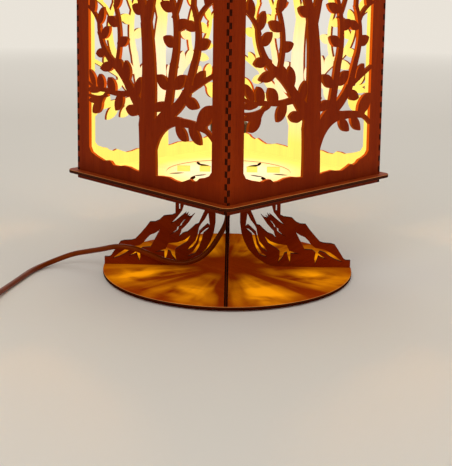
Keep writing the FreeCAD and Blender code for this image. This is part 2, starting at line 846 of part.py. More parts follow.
def make_knob():
    """A turned knob on the lid, with the screw that holds it from below."""
    knob_level = "(Sizes.wall_top + Sizes.ply)"
    foot = cone("knob_lower", "Sizes.knob_foot", "Sizes.knob_neck", "Sizes.knob_foot_height", knob_level)
    flare = cone(
        "knob_flare",
        "Sizes.knob_neck",
        "Sizes.knob_radius",
        "Sizes.knob_flare_height",
        f"{knob_level} + Sizes.knob_foot_height",
    )
    crown = cone(
        "knob_crown",
        "Sizes.knob_radius",
        "Sizes.knob_top",
        "Sizes.knob_crown_height",
        f"{knob_level} + Sizes.knob_foot_height + Sizes.knob_flare_height",
    )
    solid = fuse("knob_solid", [foot, flare, crown])
    drill = cylinder(
        "knob_drill",
        "Sizes.screw_radius",
        f"Sizes.screw_length - Sizes.ply + {OVERSHOOT}",
        f"{knob_level} - {OVERSHOOT}",
    )
    keep(cut("lid_knob", solid, drill), "lid_knob")
    shank = cylinder("screw_shank", "Sizes.screw_radius", "Sizes.screw_length", "Sizes.wall_top")
    head = cone(
        "screw_head_cone",
        "Sizes.screw_head",
        "Sizes.screw_radius",
        "Sizes.screw_head_height",
        "Sizes.wall_top - Sizes.screw_head_height",
    )
    keep(fuse("knob_screw", [shank, head]), "knob_screw")


def hexagon(name, flats, height, level, bore):
    prism = doc.addObject("Part::Prism", f"{name}_prism")
    prism.Polygon = 6
    bind(prism, Circumradius=f"{flats} / sqrt(3)", Height=height, z=level)
    hole = cylinder(f"{name}_bore", bore, f"{height} + {2 * OVERSHOOT}", f"{level} - {OVERSHOOT}")
    return keep(cut(name, prism, hole), name)


def make_lamp():
    """The hollow stem, the lamp holder on it and the bulb."""
    height = "(Sizes.holder_level + Sizes.holder_floor + Sizes.stem_above - Sizes.stem_level)"
    stem = tube("threaded_stem", "Sizes.stem_radius", "Sizes.stem_bore", height, "Sizes.stem_level")
    keep(stem, "threaded_stem")
    washer = tube(
        "stem_washer",
        "Sizes.washer_radius",
        "Sizes.stem_radius",
        "Sizes.washer_thickness",
        "(Sizes.hub_level - Sizes.washer_thickness)",
    )
    keep(washer, "stem_washer")
    nut_level = "(Sizes.hub_level - Sizes.washer_thickness - Sizes.nut_height)"
    hexagon("stem_nut", "Sizes.nut_flats", "Sizes.nut_height", nut_level, "Sizes.stem_radius")
    grip = cone("cord_grip", "Sizes.grip_tip", "Sizes.grip_radius", "Sizes.grip_length", "Sizes.grip_level")
    keep(grip, "cord_grip")
    make_holder()
    make_bulb()


def make_holder():
    base = cylinder("holder_cup", "Sizes.holder_radius", "Sizes.holder_base_height", "Sizes.holder_level")
    hollow = cylinder(
        "holder_cup_hollow",
        "Sizes.holder_radius - Sizes.holder_wall",
        "Sizes.holder_base_height",
        "Sizes.holder_level + Sizes.holder_floor",
    )
    hole = cylinder(
        "holder_cup_hole",
        "Sizes.stem_radius",
        f"Sizes.holder_floor + {2 * OVERSHOOT}",
        f"Sizes.holder_level - {OVERSHOOT}",
    )
    keep(cut("holder_base", base, group("holder_base_tools", [hollow, hole])), "holder_base")
    sleeve = tube(
        "holder_sleeve",
        "Sizes.holder_radius",
        "Sizes.holder_radius - Sizes.holder_wall",
        "(Sizes.holder_height - Sizes.holder_base_height)",
        "(Sizes.holder_level + Sizes.holder_base_height)",
    )
    keep(sleeve, "holder_sleeve")
    ring = tube(
        "holder_ring",
        "Sizes.ring_radius",
        "Sizes.holder_radius",
        "Sizes.ring_height",
        "(Sizes.holder_level + Sizes.holder_height - 2 * Sizes.ring_height)",
    )
    keep(ring, "holder_ring")
    insert_level = "(Sizes.cap_level - Sizes.insert_height - 2 * Sizes.tip_height)"
    keep(
        cylinder(
            "terminal_block", "Sizes.holder_radius - Sizes.holder_wall", "Sizes.insert_height", insert_level
        ),
        "terminal_block",
    )
    contact_level = f"{insert_level} + Sizes.insert_height"
    keep(cylinder("centre_contact", "Sizes.tip_radius", "Sizes.tip_height", contact_level), "centre_contact")
    shell = tube(
        "screw_shell",
        "Sizes.cap_radius + 2 * Sizes.shell_thickness",
        "Sizes.cap_radius",
        "(Sizes.cap_height - 2 * Sizes.tip_height)",
        f"({contact_level})",
    )
    flange = tube(
        "shell_flange",
        "Sizes.holder_radius - Sizes.holder_wall",
        "Sizes.cap_radius",
        "(2 * Sizes.shell_thickness)",
        f"({contact_level})",
    )
    keep(fuse("thread_shell", [shell, flange]), "thread_shell")


def make_bulb():
    tip_level = "Sizes.cap_level - Sizes.tip_height"
    keep(cylinder("bulb_tip", "Sizes.tip_radius", "Sizes.tip_height", tip_level), "bulb_tip")
    cap = tube(
        "cap_wall",
        "Sizes.cap_radius",
        "Sizes.cap_radius - Sizes.shell_thickness",
        "Sizes.cap_height",
        "Sizes.cap_level",
    )
    floor = cylinder("cap_floor", "Sizes.cap_radius", "Sizes.shell_thickness", "Sizes.cap_level")
    keep(fuse("bulb_cap", [cap, floor]), "bulb_cap")
    wall = size("glass_thickness")
    glass = doc.addObject("Part::Feature", "bulb_glass")
    outside = bulb_profile(size("bulb_radius"), size("cap_radius"), size("bulb_length"), 0.0)
    inside = bulb_profile(
        size("bulb_radius") - wall, size("cap_radius") - wall, size("bulb_length") - wall, wall
    )
    glass.Shape = outside.cut(inside)
    glass.Placement = Placement(UP * size("bulb_level"), Rotation())
    keep(glass, "bulb_glass")
    make_filament()


def make_filament():
    """The light rods between two small discs on a stem."""
    stem_level = "Sizes.bulb_level + Sizes.glass_thickness"
    rods = [cylinder("filament_stem", "Sizes.filament_stem_radius", "Sizes.filament_stem_height", stem_level)]
    for end in ("foot", "head"):
        rods.append(
            cylinder(
                f"filament_disc_{end}",
                "Sizes.filament_disc_radius",
                "Sizes.filament_disc_height",
                f"Sizes.bulb_level + Sizes.filament_{end}",
            )
        )
    for index in range(FILAMENT_RODS):
        angle = (index + 0.5) * TURN_ANGLE / FILAMENT_RODS
        rods.append(
            cylinder(
                f"filament_rod_{index}",
                "Sizes.filament_rod_radius",
                "Sizes.filament_head - Sizes.filament_foot",
                "Sizes.bulb_level + Sizes.filament_foot + Sizes.filament_disc_height / 2",
                x=f"Sizes.filament_rod_circle * cos({angle} deg)",
                y=f"Sizes.filament_rod_circle * sin({angle} deg)",
            )
        )
    keep(fuse("bulb_filament", rods), "bulb_filament")


def bulb_profile(radius, neck, length, start):
    """A tube-shaped bulb with a domed end, turned about the lamp's axis."""
    shoulder = start + radius
    dome = length - radius
    points = [
        Vector(0, 0, start),
        Vector(neck, 0, start),
        Vector(radius, 0, shoulder),
        Vector(radius, 0, dome),
    ]
    diagonal = math.sqrt(0.5)
    crown = Part.Arc(points[3], Vector(radius * diagonal, 0, dome + radius * diagonal), Vector(0, 0, length))
    edges = [Part.LineSegment(first, second).toShape() for first, second in zip(points, points[1:])]
    edges += [crown.toShape(), Part.LineSegment(Vector(0, 0, length), points[0]).toShape()]
    return Part.Face(Part.Wire(edges)).revolve(Vector(0, 0, 0), UP, TURN_ANGLE)


# The cord's routes. The points beside the grip, the switch and the coil follow from those.
TABLE_GAP = 0.1
GRIP_STUB = 9.0
LEAD_ROUTE = [
    (0.3, -2.6, 42.3), (0.1, -8.2, 33.6), (-3.5, -17, 23), (-11, -27, 13), (-21.5, -38, 9),
    (-32, -48.5, 11), (-43, -59.5, 17.5), (-54, -70.5, 25), (-66, -81, 27.3), (-80, -87, 22.5),
    (-97, -91, 16.5), (-111, -98, 10.8), (-119, -110, 6), (-120.5, -125, 3), (-114.5, -143, 2.6),
    (-100, -165, 2.6), (-85, -188, 2.6), (-69, -209.5, 4.5),
]
LINK_ROUTE = [
    (-66.8, -334.8, 6.5), (-80.2, -343.5, 3.6), (-96.2, -344.3, 2.6), (-110.5, -337, 2.6),
    (-120.3, -323.1, 2.6), (-128.2, -308.9, 2.6),
]
SWITCH_PLACE = (-59.5, -274.5)
SWITCH_HEADING = 270.0
COIL_PLACE = (-123.0, -253.0)
COIL_HEADING = 135.0
SWITCH_STUB = 16.0
COIL_STUB_RUN = 16.0
TAIL_RUNS = (7.0, 10.0, 7.0)


def arc_between(start, corner, end):
    """The arc that leaves start towards corner and reaches end from it."""
    middle = (start + end) / 2
    reach = start.distanceToPoint(corner)
    cosine = start.distanceToPoint(middle) / reach
    through = middle + (corner - middle) * (cosine / (1 + cosine))
    return Part.Arc(start, through, end).toShape()


def swept(edges, radius):
    """A round tube along a smooth chain of edges."""
    path = Part.Wire(edges)
    start = edges[0].valueAt(edges[0].FirstParameter)
    heading = edges[0].tangentAt(edges[0].FirstParameter)
    circle = Part.Wire(Part.Circle(start, heading, radius).toShape())
    return path.makePipeShell([circle], True, False)


def rounded_route(name, points):
    """Straight runs joined by arcs, each as large as its two runs allow."""
    corners = [Vector(*point) for point in points]
    edges = []
    radii = []
    last = corners[0]
    for before, corner, after in zip(corners, corners[1:], corners[2:]):
        incoming = (corner - before).normalize()
        outgoing = (after - corner).normalize()
        shorter = min(before.distanceToPoint(corner), corner.distanceToPoint(after))
        reach = 0.45 * shorter
        half_turn = incoming.getAngle(outgoing) / 2
        radii.append(reach / math.tan(half_turn))
        start = corner - incoming * reach
        end = corner + outgoing * reach
        edges.append(Part.LineSegment(last, start).toShape())
        edges.append(arc_between(start, corner, end))
        last = end
    edges.append(Part.LineSegment(last, corners[-1]).toShape())
    print(name, "arc radii", [round(radius, 1) for radius in radii])
    return edges


def cord_piece(label, edges):
    radius = size("cord_diameter") / 2
    solid = swept(edges, radius)
    length = sum(edge.Length for edge in edges)
    section = math.pi * radius ** 2
    share = solid.Volume / section / length
    print(label, "length", round(length, 1), "volume over section times length", round(share, 5))
    item = doc.addObject("Part::Feature", label)
    item.Shape = solid
    keep(item, label)
    return length


def coil_point(turns):
    """A point of the coil after so many turns, with its direction.

    The spiral runs in at a steady rate for half of the turns and out again for the rest.
    It climbs one layer in the half turn in which it reverses.
    """
    half = size("coil_turns") / 2
    from_middle = turns - half
    inner = size("coil_mean_radius") - size("coil_pitch") * half / 2
    radius = inner + size("coil_pitch") * abs(from_middle)
    climb = min(max(from_middle + 0.25, 0.0) / 0.5, 1.0)
    height = size("cord_diameter") / 2 + TABLE_GAP + size("coil_pitch") * climb
    angle = math.radians(COIL_HEADING + 90) - 2 * math.pi * turns
    outward = Vector(math.cos(angle), math.sin(angle), 0)
    onward = Vector(outward.y, -outward.x, 0)
    drift = size("coil_pitch") / (2 * math.pi)
    slope = 0.0
    if abs(from_middle) > 1e-9:
        slope = math.copysign(drift, from_middle)
    rise = 0.0
    if -0.25 < from_middle < 0.25:
        rise = size("coil_pitch") / math.pi
    direction = onward * radius + outward * slope + UP * rise
    place = Vector(COIL_PLACE[0], COIL_PLACE[1], 0) + outward * radius + UP * height
    return place, direction.normalize()


def biarc(start, heading, end, leaving):
    """Two arcs from start to end with the given directions."""
    across = end - start
    both = heading + leaving
    shape = 2 * (1 - heading.dot(leaving))
    linear = 2 * across.dot(both)
    reach = (-linear + math.sqrt(linear ** 2 + 4 * shape * across.dot(across))) / (2 * shape)
    first = start + heading * reach
    second = end - leaving * reach
    joint = (first + second) / 2
    return [arc_between(start, first, joint), arc_between(joint, second, end)]


def coil_edges():
    """The wound length: a straight end, quarter turns as biarcs, and a straight end."""
    stub = size("cord_diameter")
    quarters = round(4 * size("coil_turns"))
    stations = [coil_point(index / 4) for index in range(quarters + 1)]
    edges = []
    place, heading = stations[0]
    edges.append(Part.LineSegment(place - heading * stub, place).toShape())
    for (start, leaving), (end, arriving) in zip(stations, stations[1:]):
        edges += biarc(start, leaving, end, arriving)
    place, heading = stations[-1]
    edges.append(Part.LineSegment(place, place + heading * stub).toShape())
    return edges


def least_coil_gap(edges):
    """The least gap between turns, measured on points along the wound length."""
    points = []
    travelled = 0.0
    for edge in edges:
        for point in edge.discretize(Distance=1.5)[:-1]:
            if points:
                travelled += point.distanceToPoint(points[-1][1])
            points.append((travelled, point))
    turn = 2 * math.pi * (size("coil_mean_radius") - size("coil_pitch") * size("coil_turns") / 4)
    least = min(
        first.distanceToPoint(second)
        for position, (along, first) in enumerate(points)
        for further, second in points[position + 1:]
        if further - along > turn / 2
    )
    return least - size("cord_diameter")


def switch_point(forward, height):
    """A point on the switch's long axis, ahead of its middle by so much."""
    angle = math.radians(SWITCH_HEADING)
    return (
        SWITCH_PLACE[0] + forward * math.cos(angle),
        SWITCH_PLACE[1] + forward * math.sin(angle),
        height,
    )


def make_cord():
    half_switch = size("switch_length") / 2
    entry = size("switch_height") / 2
    exit_point = (0.0, 0.0, size("grip_level"))
    below_grip = (0.0, 0.0, size("grip_level") - GRIP_STUB)
    lead = [exit_point, below_grip] + LEAD_ROUTE
    lead += [switch_point(-half_switch - SWITCH_STUB, entry), switch_point(-half_switch, entry)]
    total = cord_piece("cord_lead", rounded_route("cord_lead", lead))
    coil = coil_edges()
    coil_start = coil[0].valueAt(coil[0].FirstParameter)
    start_heading = coil[0].tangentAt(coil[0].FirstParameter)
    before_coil = coil_start - start_heading * COIL_STUB_RUN
    link = [switch_point(half_switch, entry), switch_point(half_switch + SWITCH_STUB, entry)] + LINK_ROUTE
    link += [tuple(before_coil), tuple(coil_start)]
    total += cord_piece("cord_link", rounded_route("cord_link", link))
    total += cord_piece("cord_coil", coil)
    print("cord_coil least gap to itself", round(least_coil_gap(coil), 3))
    coil_end = coil[-1].valueAt(coil[-1].LastParameter)
    heading = coil[-1].tangentAt(coil[-1].LastParameter)
    drop = UP * (size("plug_height") / 2 - coil_end.z)
    tail = [coil_end]
    for run, fall in zip(TAIL_RUNS, (Vector(0, 0, 0), drop, Vector(0, 0, 0))):
        tail.append(tail[-1] + heading * run + fall)
    total += cord_piece("cord_tail", rounded_route("cord_tail", tail))
    print("cord in all", round(total + size("switch_length"), 1))
    make_plug(tail[-1], heading)


def make_plug(start, heading):
    """A flat two-pin plug lying beside the coil."""
    angle = math.degrees(math.atan2(heading.y, heading.x))
    relief = cone("plug_relief", "Sizes.relief_tip", "Sizes.relief_root", "Sizes.relief_length", "0")
    relief.Placement = Placement(start, Rotation(UP, heading))
    relief.setExpression("Placement.Base.z", None)
    keep(relief, "plug_relief")
    body = doc.addObject("PartDesign::Body", "plug_body")
    outline = new_sketch(body, "plug_outline")
    rectangle(outline, "Sizes.plug_length", "Sizes.plug_width")
    block_pad = pad(body, "plug_pad", outline, "Sizes.plug_height")
    doc.recompute()
    edges = level_edges(block_pad.Shape, 0.0) + level_edges(block_pad.Shape, size("plug_height"))
    edges += upright_edges(block_pad.Shape)
    round_edges(body, "plug_rounding", block_pad, edges, "Sizes.plug_corner")
    reach = size("relief_length") + size("plug_length") / 2
    middle = start + heading * reach
    body.Placement = Placement(Vector(middle.x, middle.y, 0), Rotation(UP, angle))
    keep(body, "plug_body")
    pins = []
    for name, side in (("plug_pin_left", 1), ("plug_pin_right", -1)):
        pin = cylinder(name, "Sizes.pin_radius", "Sizes.pin_length", "0")
        pin.setExpression("Placement.Base.z", None)
        sideways = Vector(-heading.y, heading.x, 0) * (side * size("pin_spacing") / 2)
        face = start + heading * (size("relief_length") + size("plug_length")) + sideways
        pin.Placement = Placement(face, Rotation(UP, heading))
        pins.append(pin)
    keep(group("plug_pins", pins), "plug_pins")


def make_switch():
    """The rocker switch on the cord: two moulded halves, contacts, screws and the rocker."""
    middle = Vector(SWITCH_PLACE[0], SWITCH_PLACE[1], 0)
    turn = Rotation(UP, SWITCH_HEADING)
    split = size("switch_height") / 2
    shell = size("switch_shell")
    for label, low, hollow_low in (("switch_bottom", 0.0, shell), ("switch_top", split, split)):
        body = doc.addObject("PartDesign::Body", f"{label}_moulding")
        outline = new_sketch(body, f"{label}_outline")
        rectangle(outline, "Sizes.switch_length", "Sizes.switch_width")
        half = pad(body, f"{label}_pad", outline, "Sizes.switch_height / 2")
        doc.recompute()
        round_edges(body, f"{label}_corners", half, upright_edges(half.Shape), "Sizes.switch_corner")
        body.Placement = Placement(Vector(0, 0, low), Rotation())
        hollow = block(
            f"{label}_hollow",
            "Sizes.switch_length - 2 * Sizes.switch_shell - 2 * Sizes.switch_clamp",
            "Sizes.switch_width - 2 * Sizes.switch_shell",
            "Sizes.switch_height / 2 - Sizes.switch_shell",
            x="Sizes.switch_shell + Sizes.switch_clamp - Sizes.switch_length / 2",
            y="Sizes.switch_shell - Sizes.switch_width / 2",
        )
        hollow.Placement.Base.z = hollow_low
        tools = [hollow]
        for end in (-1, 1):
            tools.append(
                cylinder(
                    f"{label}_screw_hole_{end + 1}",
                    "Sizes.switch_screw_radius",
                    "Sizes.switch_height",
                    "0",
                    x=f"{end} * (Sizes.switch_length / 2 - Sizes.switch_screw_inset)",
                    y="Sizes.switch_width / 2 - Sizes.switch_screw_inset",
                )
            )
        if label == "switch_top":
            tools.append(
                block(
                    "switch_rocker_window",
                    "Sizes.rocker_length + 2 * Sizes.rocker_gap",
                    "Sizes.rocker_width + 2 * Sizes.rocker_gap",
                    "Sizes.switch_height",
                    x="-Sizes.rocker_length / 2 - Sizes.rocker_gap",
                    y="-Sizes.rocker_width / 2 - Sizes.rocker_gap",
                    z="Sizes.switch_height / 2",
                )
            )
        moulding = cut(f"{label}_shell", body, group(f"{label}_tools", tools))
        if label == "switch_top":
            moulding = with_cheeks(moulding)
        keep(turned(label, [moulding], SWITCH_HEADING, middle), label)
    screws = []
    for end in (-1, 1):
        screws.append(
            cylinder(
                f"switch_screw_{end + 1}",
                "Sizes.switch_screw_radius",
                "Sizes.switch_screw_length",
                "(Sizes.switch_height - Sizes.switch_screw_length) / 2",
                x=f"{end} * (Sizes.switch_length / 2 - Sizes.switch_screw_inset)",
                y="Sizes.switch_width / 2 - Sizes.switch_screw_inset",
            )
        )
    keep(turned("switch_screws", screws, SWITCH_HEADING, middle), "switch_screws")
    contacts = []
    for end in (-1, 1):
        contacts.append(
            block(
                f"switch_contact_{end + 1}",
                "Sizes.contact_length",
                "Sizes.contact_width",
                "Sizes.contact_height",
                x=f"{end} * Sizes.contact_spacing / 2 - Sizes.contact_length / 2",
                y="-Sizes.contact_width / 2",
                z="Sizes.switch_shell",
            )
        )
    keep(turned("switch_contacts", contacts, SWITCH_HEADING, middle), "switch_contacts")
    make_rocker(middle, turn)


def with_cheeks(moulding):
    """The upper half with the two cheeks that carry the rocker's pin."""
    cheeks = []
    for name, place in (
        ("cheek_left", "Sizes.rocker_width / 2 + Sizes.rocker_gap"),
        ("cheek_right", "-Sizes.rocker_width / 2 - Sizes.rocker_gap - Sizes.cheek_width"),
    ):
        cheeks.append(
            block(
                name,
                "5 * Sizes.rocker_pin_radius",
                "Sizes.cheek_width",
                "Sizes.rocker_pin_drop + 2 * Sizes.rocker_pin_radius",
                x="-2.5 * Sizes.rocker_pin_radius",
                y=place,
                z="Sizes.switch_height - Sizes.rocker_pin_drop - 2 * Sizes.rocker_pin_radius",
            )
        )
    bore = doc.addObject("Part::Cylinder", "cheek_bore")
    bore.Placement = Placement(Vector(0, 0, 0), Rotation(Vector(1, 0, 0), -90))
    bind(
        bore,
        Radius=f"Sizes.rocker_pin_radius + {PIN_CLEARANCE}",
        Height=f"Sizes.rocker_width + 2 * Sizes.rocker_gap + 2 * Sizes.cheek_width + {2 * OVERSHOOT}",
        y=f"-Sizes.rocker_width / 2 - Sizes.rocker_gap - Sizes.cheek_width - {OVERSHOOT}",
        z="Sizes.switch_height - Sizes.rocker_pin_drop",
    )
    return cut("switch_top_bored", fuse("switch_top_cheeks", [moulding] + cheeks), bore)


def make_rocker(middle, turn):
    """The rocker, modelled pressed down at its far end, on a pin across the case."""
    length = size("rocker_length")
    width = size("rocker_width")
    pivot_height = size("switch_height") - size("rocker_pin_drop")
    pin_length = width + 2 * size("rocker_gap") + 2 * size("cheek_width")
    half = length / 2 - size("rocker_end_gap")
    crown = size("rocker_crown")
    skirt = -size("rocker_skirt")
    ends = [Vector(-half, 0, crown), Vector(0, 0, crown - size("rocker_dish")), Vector(half, 0, crown)]
    top = Part.Arc(*ends).toShape()
    keel = Vector(0, 0, -size("rocker_keel"))
    corners = [ends[2], Vector(half, 0, skirt), keel, Vector(-half, 0, skirt), ends[0]]
    sides = [Part.LineSegment(a, b).toShape() for a, b in zip(corners, corners[1:])]
    blade = Part.Face(Part.Wire([top] + sides)).extrude(Vector(0, width, 0))
    blade.translate(Vector(0, -width / 2, 0))
    pin = Part.makeCylinder(
        size("rocker_pin_radius"), pin_length, Vector(0, -pin_length / 2, 0), Vector(0, 1, 0)
    )
    rocker = doc.addObject("Part::Feature", "switch_rocker")
    rocker.Shape = blade.fuse(pin)
    tilt = Rotation(Vector(0, 1, 0), size("rocker_tilt"))
    rocker.Placement = Placement(middle + UP * pivot_height, turn.multiply(tilt))
    keep(rocker, "switch_rocker")
    print("rocker pin at", tuple(round(value, 3) for value in middle + UP * pivot_height))


def check_and_write():
    """Stop on any failed object, then write each sub-part to its own file."""
    doc.recompute()
    for item in doc.Objects:
        if "Invalid" in item.State or "Error" in item.State:
            raise ValueError(f"{item.Name}: {item.State}")
    os.makedirs("parts", exist_ok=True)
    for node in nodes:
        shape = node.Shape
        if shape.isNull() or not shape.isValid() or not shape.Solids:
            raise ValueError(f"{node.Label} has no valid solid")
        shape.exportStep(f"parts/{node.Label}.step")
    print(len(nodes), "sub-parts written")


make_stand()
make_legs()
make_lantern_plates()
make_walls()
make_lid()
make_knob()
make_lamp()
make_cord()
make_switch()
check_and_write()
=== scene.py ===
import math

import bmesh
import bpy
from bpy.props import FloatProperty, FloatVectorProperty, IntProperty, PointerProperty
from mathutils import Matrix, Vector


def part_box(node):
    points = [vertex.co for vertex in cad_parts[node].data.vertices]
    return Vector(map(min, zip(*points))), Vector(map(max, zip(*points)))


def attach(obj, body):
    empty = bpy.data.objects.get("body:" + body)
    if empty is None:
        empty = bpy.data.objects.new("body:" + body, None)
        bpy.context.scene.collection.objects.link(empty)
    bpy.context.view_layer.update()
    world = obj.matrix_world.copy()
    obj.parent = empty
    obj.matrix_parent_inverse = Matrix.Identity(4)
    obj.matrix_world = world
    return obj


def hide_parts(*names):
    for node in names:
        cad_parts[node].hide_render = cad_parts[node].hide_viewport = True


bl_info = {
    "name": "Tree Lantern",
    "version": (1, 0, 0),
    "blender": (4, 5, 0),
    "location": "View3D > Sidebar > Tree Lantern",
    "description": "Dresses a plywood tree lantern that turns on root-shaped legs",
    "category": "Object",
}

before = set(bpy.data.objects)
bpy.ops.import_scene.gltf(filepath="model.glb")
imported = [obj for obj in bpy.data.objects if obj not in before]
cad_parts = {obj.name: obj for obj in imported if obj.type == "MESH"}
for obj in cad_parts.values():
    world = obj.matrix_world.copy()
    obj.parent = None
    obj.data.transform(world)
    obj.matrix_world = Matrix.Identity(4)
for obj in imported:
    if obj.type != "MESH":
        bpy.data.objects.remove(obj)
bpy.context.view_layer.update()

MM = 0.001
FULL_TURN = math.tau
UP = Vector((0, 0, 1))
CENTRE = Vector((0, 0, 0))

# Levels that the finishes and the new pieces share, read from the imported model.
GRIP_LOW, GRIP_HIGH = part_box("cord_grip")
BULB_LOW, BULB_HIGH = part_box("bulb_glass")
WALL_LOW, WALL_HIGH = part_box("wall_front")
DISC_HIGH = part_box("base_disc")[1]
INNER_FLOOR_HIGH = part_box("centring_disc")[1]
LID_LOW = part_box("lid_plate")[0]
RIM_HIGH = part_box("lower_rim")[1]
GLOW_LEVEL = (BULB_LOW.z + BULB_HIGH.z) / 2
WALL_MIDDLE = (WALL_LOW.y + WALL_HIGH.y) / 2
LIT_REACH = abs(WALL_LOW.y) - 0.0001
FRONT_LEG = Vector((1, -1, 0)).normalized()
LEG_SIDE = Vector((1, 1, 0)).normalized()

# The cord's route, in metres: the points that the tube follows, in order from the lamp.
GRIP_STUB = 0.009
LEAD_ROUTE = [
    (-0.0008, -0.0034, 0.0423),
    (-0.0018, -0.0101, 0.0336),
    (-0.0041, -0.0177, 0.0230),
    (-0.0110, -0.0270, 0.0130),
    (-0.0215, -0.0380, 0.0090),
    (-0.0320, -0.0485, 0.0110),
    (-0.0430, -0.0595, 0.0175),
    (-0.0540, -0.0705, 0.0235),
    (-0.0660, -0.0810, 0.0247),
    (-0.0800, -0.0870, 0.0198),
    (-0.0970, -0.0910, 0.0148),
    (-0.1110, -0.0980, 0.0108),
    (-0.1190, -0.1100, 0.0060),
    (-0.1205, -0.1250, 0.0030),
    (-0.1145, -0.1430, 0.0026),
    (-0.1000, -0.1650, 0.0026),
    (-0.0850, -0.1880, 0.0026),
    (-0.0690, -0.2095, 0.0045),
]
LINK_ROUTE = [
    (-0.0668, -0.3348, 0.0065),
    (-0.0802, -0.3435, 0.0036),
    (-0.0962, -0.3443, 0.0026),
    (-0.1105, -0.3370, 0.0026),
    (-0.1203, -0.3231, 0.0026),
    (-0.1282, -0.3089, 0.0026),
]
SWITCH_MIDDLE = Vector((-0.0595, -0.2745, 0))
SWITCH_HEADING = Vector((0, -1, 0))
SWITCH_STUB = 0.016
COIL_MIDDLE = Vector((-0.1230, -0.2530, 0))
COIL_HEADING = math.radians(135)
COIL_STUB_RUN = 0.016
TABLE_GAP = 0.0001
TAIL_RUNS = (0.007, 0.010, 0.007)
POINTS_PER_TURN = 24
SHARP_ANGLE = math.radians(35)

# The least light, as a share of the most, on cut edges and on faces inside the lantern.
BOUNCED_LIGHT = (0.24, 0.42)
BOUNCED_NEAR_BULB = 0.6

# A face turned to the bulb is fully lit within this distance, in metres.
FULLY_LIT_WITHIN = 0.17

# Tint of the sheen, the same all over a surface: reflections in a room lit by the lamp alone.
WARM_SHEEN = (1.0, 0.58, 0.26, 1.0)
BULB_WARMTH = (1.0, 0.55, 0.16)
BOARD_GLOSS = 0.06
RIM_GLOSS = 0.15

# The camera stands at the photograph's viewing angle.
CAMERA_PLACE = (0.6013, -0.5939, 0.2618)
CAMERA_FORWARD = Vector((-0.70773, 0.69399, -0.13231))
CAMERA_RIGHT = Vector((0.69881, 0.71518, 0.01328))
CAMERA_SHIFT = -0.262

# Soft studio lamps: name, place and power, all of one width and aimed at one point.
STUDIO_LAMPS = (
    ("key_lamp", (0.9, -1.5, 1.5), 13.0),
    ("fill_lamp", (1.6, 0.7, 1.0), 5.0),
    ("back_lamp", (-1.4, 1.2, 1.6), 7.0),
)
LAMP_WIDTH = 1.6
LAMP_AIM = Vector((0, 0, 0.15))
FLOOR_RADIUS = 5.0

# Lengths along the plug in millimetres, and how far off an outline a point may be.
PLUG_SLEEVE_LENGTH = 24.0
PLUG_BODY_LENGTH = 34.0
SWITCH_CORNER = 6.0 * MM
OUTLINE_SLACK = 0.1 * MM


class LanternColours(bpy.types.PropertyGroup):
    """The colours that a user would change."""

    face: FloatVectorProperty(
        name="Stained face",
        description="Dark stained faces of the walls and legs",
        subtype="COLOR",
        default=(0.205, 0.0150, 0.0006),
    )
    face_light: FloatVectorProperty(
        name="Stained face, light grain",
        description="Lighter grain of the stained faces",
        subtype="COLOR",
        default=(0.275, 0.0270, 0.0012),
    )
    board: FloatVectorProperty(
        name="Board face",
        description="Faces of the round boards",
        subtype="COLOR",
        default=(0.235, 0.022, 0.0010),
    )
    board_light: FloatVectorProperty(
        name="Board face, light grain",
        description="Lighter grain of the round boards",
        subtype="COLOR",
        default=(0.330, 0.050, 0.0020),
    )
    char: FloatVectorProperty(
        name="Charred edge",
        description="Edges that the laser has burnt",
        subtype="COLOR",
        default=(0.0060, 0.0012, 0.0003),
    )
    char_light: FloatVectorProperty(
        name="Charred edge, middle ply",
        description="Browner middle ply of a burnt edge",
        subtype="COLOR",
        default=(0.085, 0.0070, 0.0006),
    )
    glow: FloatVectorProperty(
        name="Lit faces",
        description="The bulb's light on the faces inside the lantern",
        subtype="COLOR",
        default=(1.0, 0.97, 0.17),
    )
    hot: FloatVectorProperty(
        name="Brightest faces",
        description="The bulb's light where a face is nearest to it",
        subtype="COLOR",
        default=(1.0, 1.0, 0.60),
    )
    ray: FloatVectorProperty(
        name="Light on the base",
        description="Light that falls through the slits onto the base disc",
        subtype="COLOR",
        default=(0.92, 0.33, 0.002),
    )
    ember: FloatVectorProperty(
        name="Lit edges",
        description="The bulb's light on the burnt edges of the windows",
        subtype="COLOR",
        default=(0.72, 0.090, 0.003),
    )
    dusk: FloatVectorProperty(
        name="Faintly lit faces",
        description="Faces inside the lantern that the bulb lights at a slant",
        subtype="COLOR",
        default=(0.80, 0.22, 0.010),
    )
    tab: FloatVectorProperty(
        name="Lit tab ends",
        description="The bulb's light on the ends of the legs' tabs",
        subtype="COLOR",
        default=(1.0, 0.74, 0.06),
    )
    rim: FloatVectorProperty(
        name="Rim face",
        description="Faces of the rims and the lid",
        subtype="COLOR",
        default=(0.215, 0.022, 0.0012),
    )
    rim_light: FloatVectorProperty(
        name="Rim face, light grain",
        description="Lighter grain of the rims and the lid",
        subtype="COLOR",
        default=(0.320, 0.046, 0.0040),
    )
    # A painted highlight along the upper, bevelled edges of the rims and boards.
    painted_edge_highlight: FloatVectorProperty(
        name="Rubbed edge",
        description="Edges of the rims and boards where the stain is worn",
        subtype="COLOR",
        default=(0.72, 0.27, 0.075),
    )
    sheath: FloatVectorProperty(
        name="Cord sheath",
        description="Glossy sheath of the mains cord",
        subtype="COLOR",
        default=(0.230, 0.0310, 0.0008),
    )
    moulding: FloatVectorProperty(
        name="Mouldings",
        description="Switch, plug and lamp holder",
        subtype="COLOR",
        default=(0.028, 0.0070, 0.0030),
    )
    floor: FloatVectorProperty(
        name="Floor",
        description="Plain floor and background",
        subtype="COLOR",
        default=(0.82, 0.77, 0.69),
    )


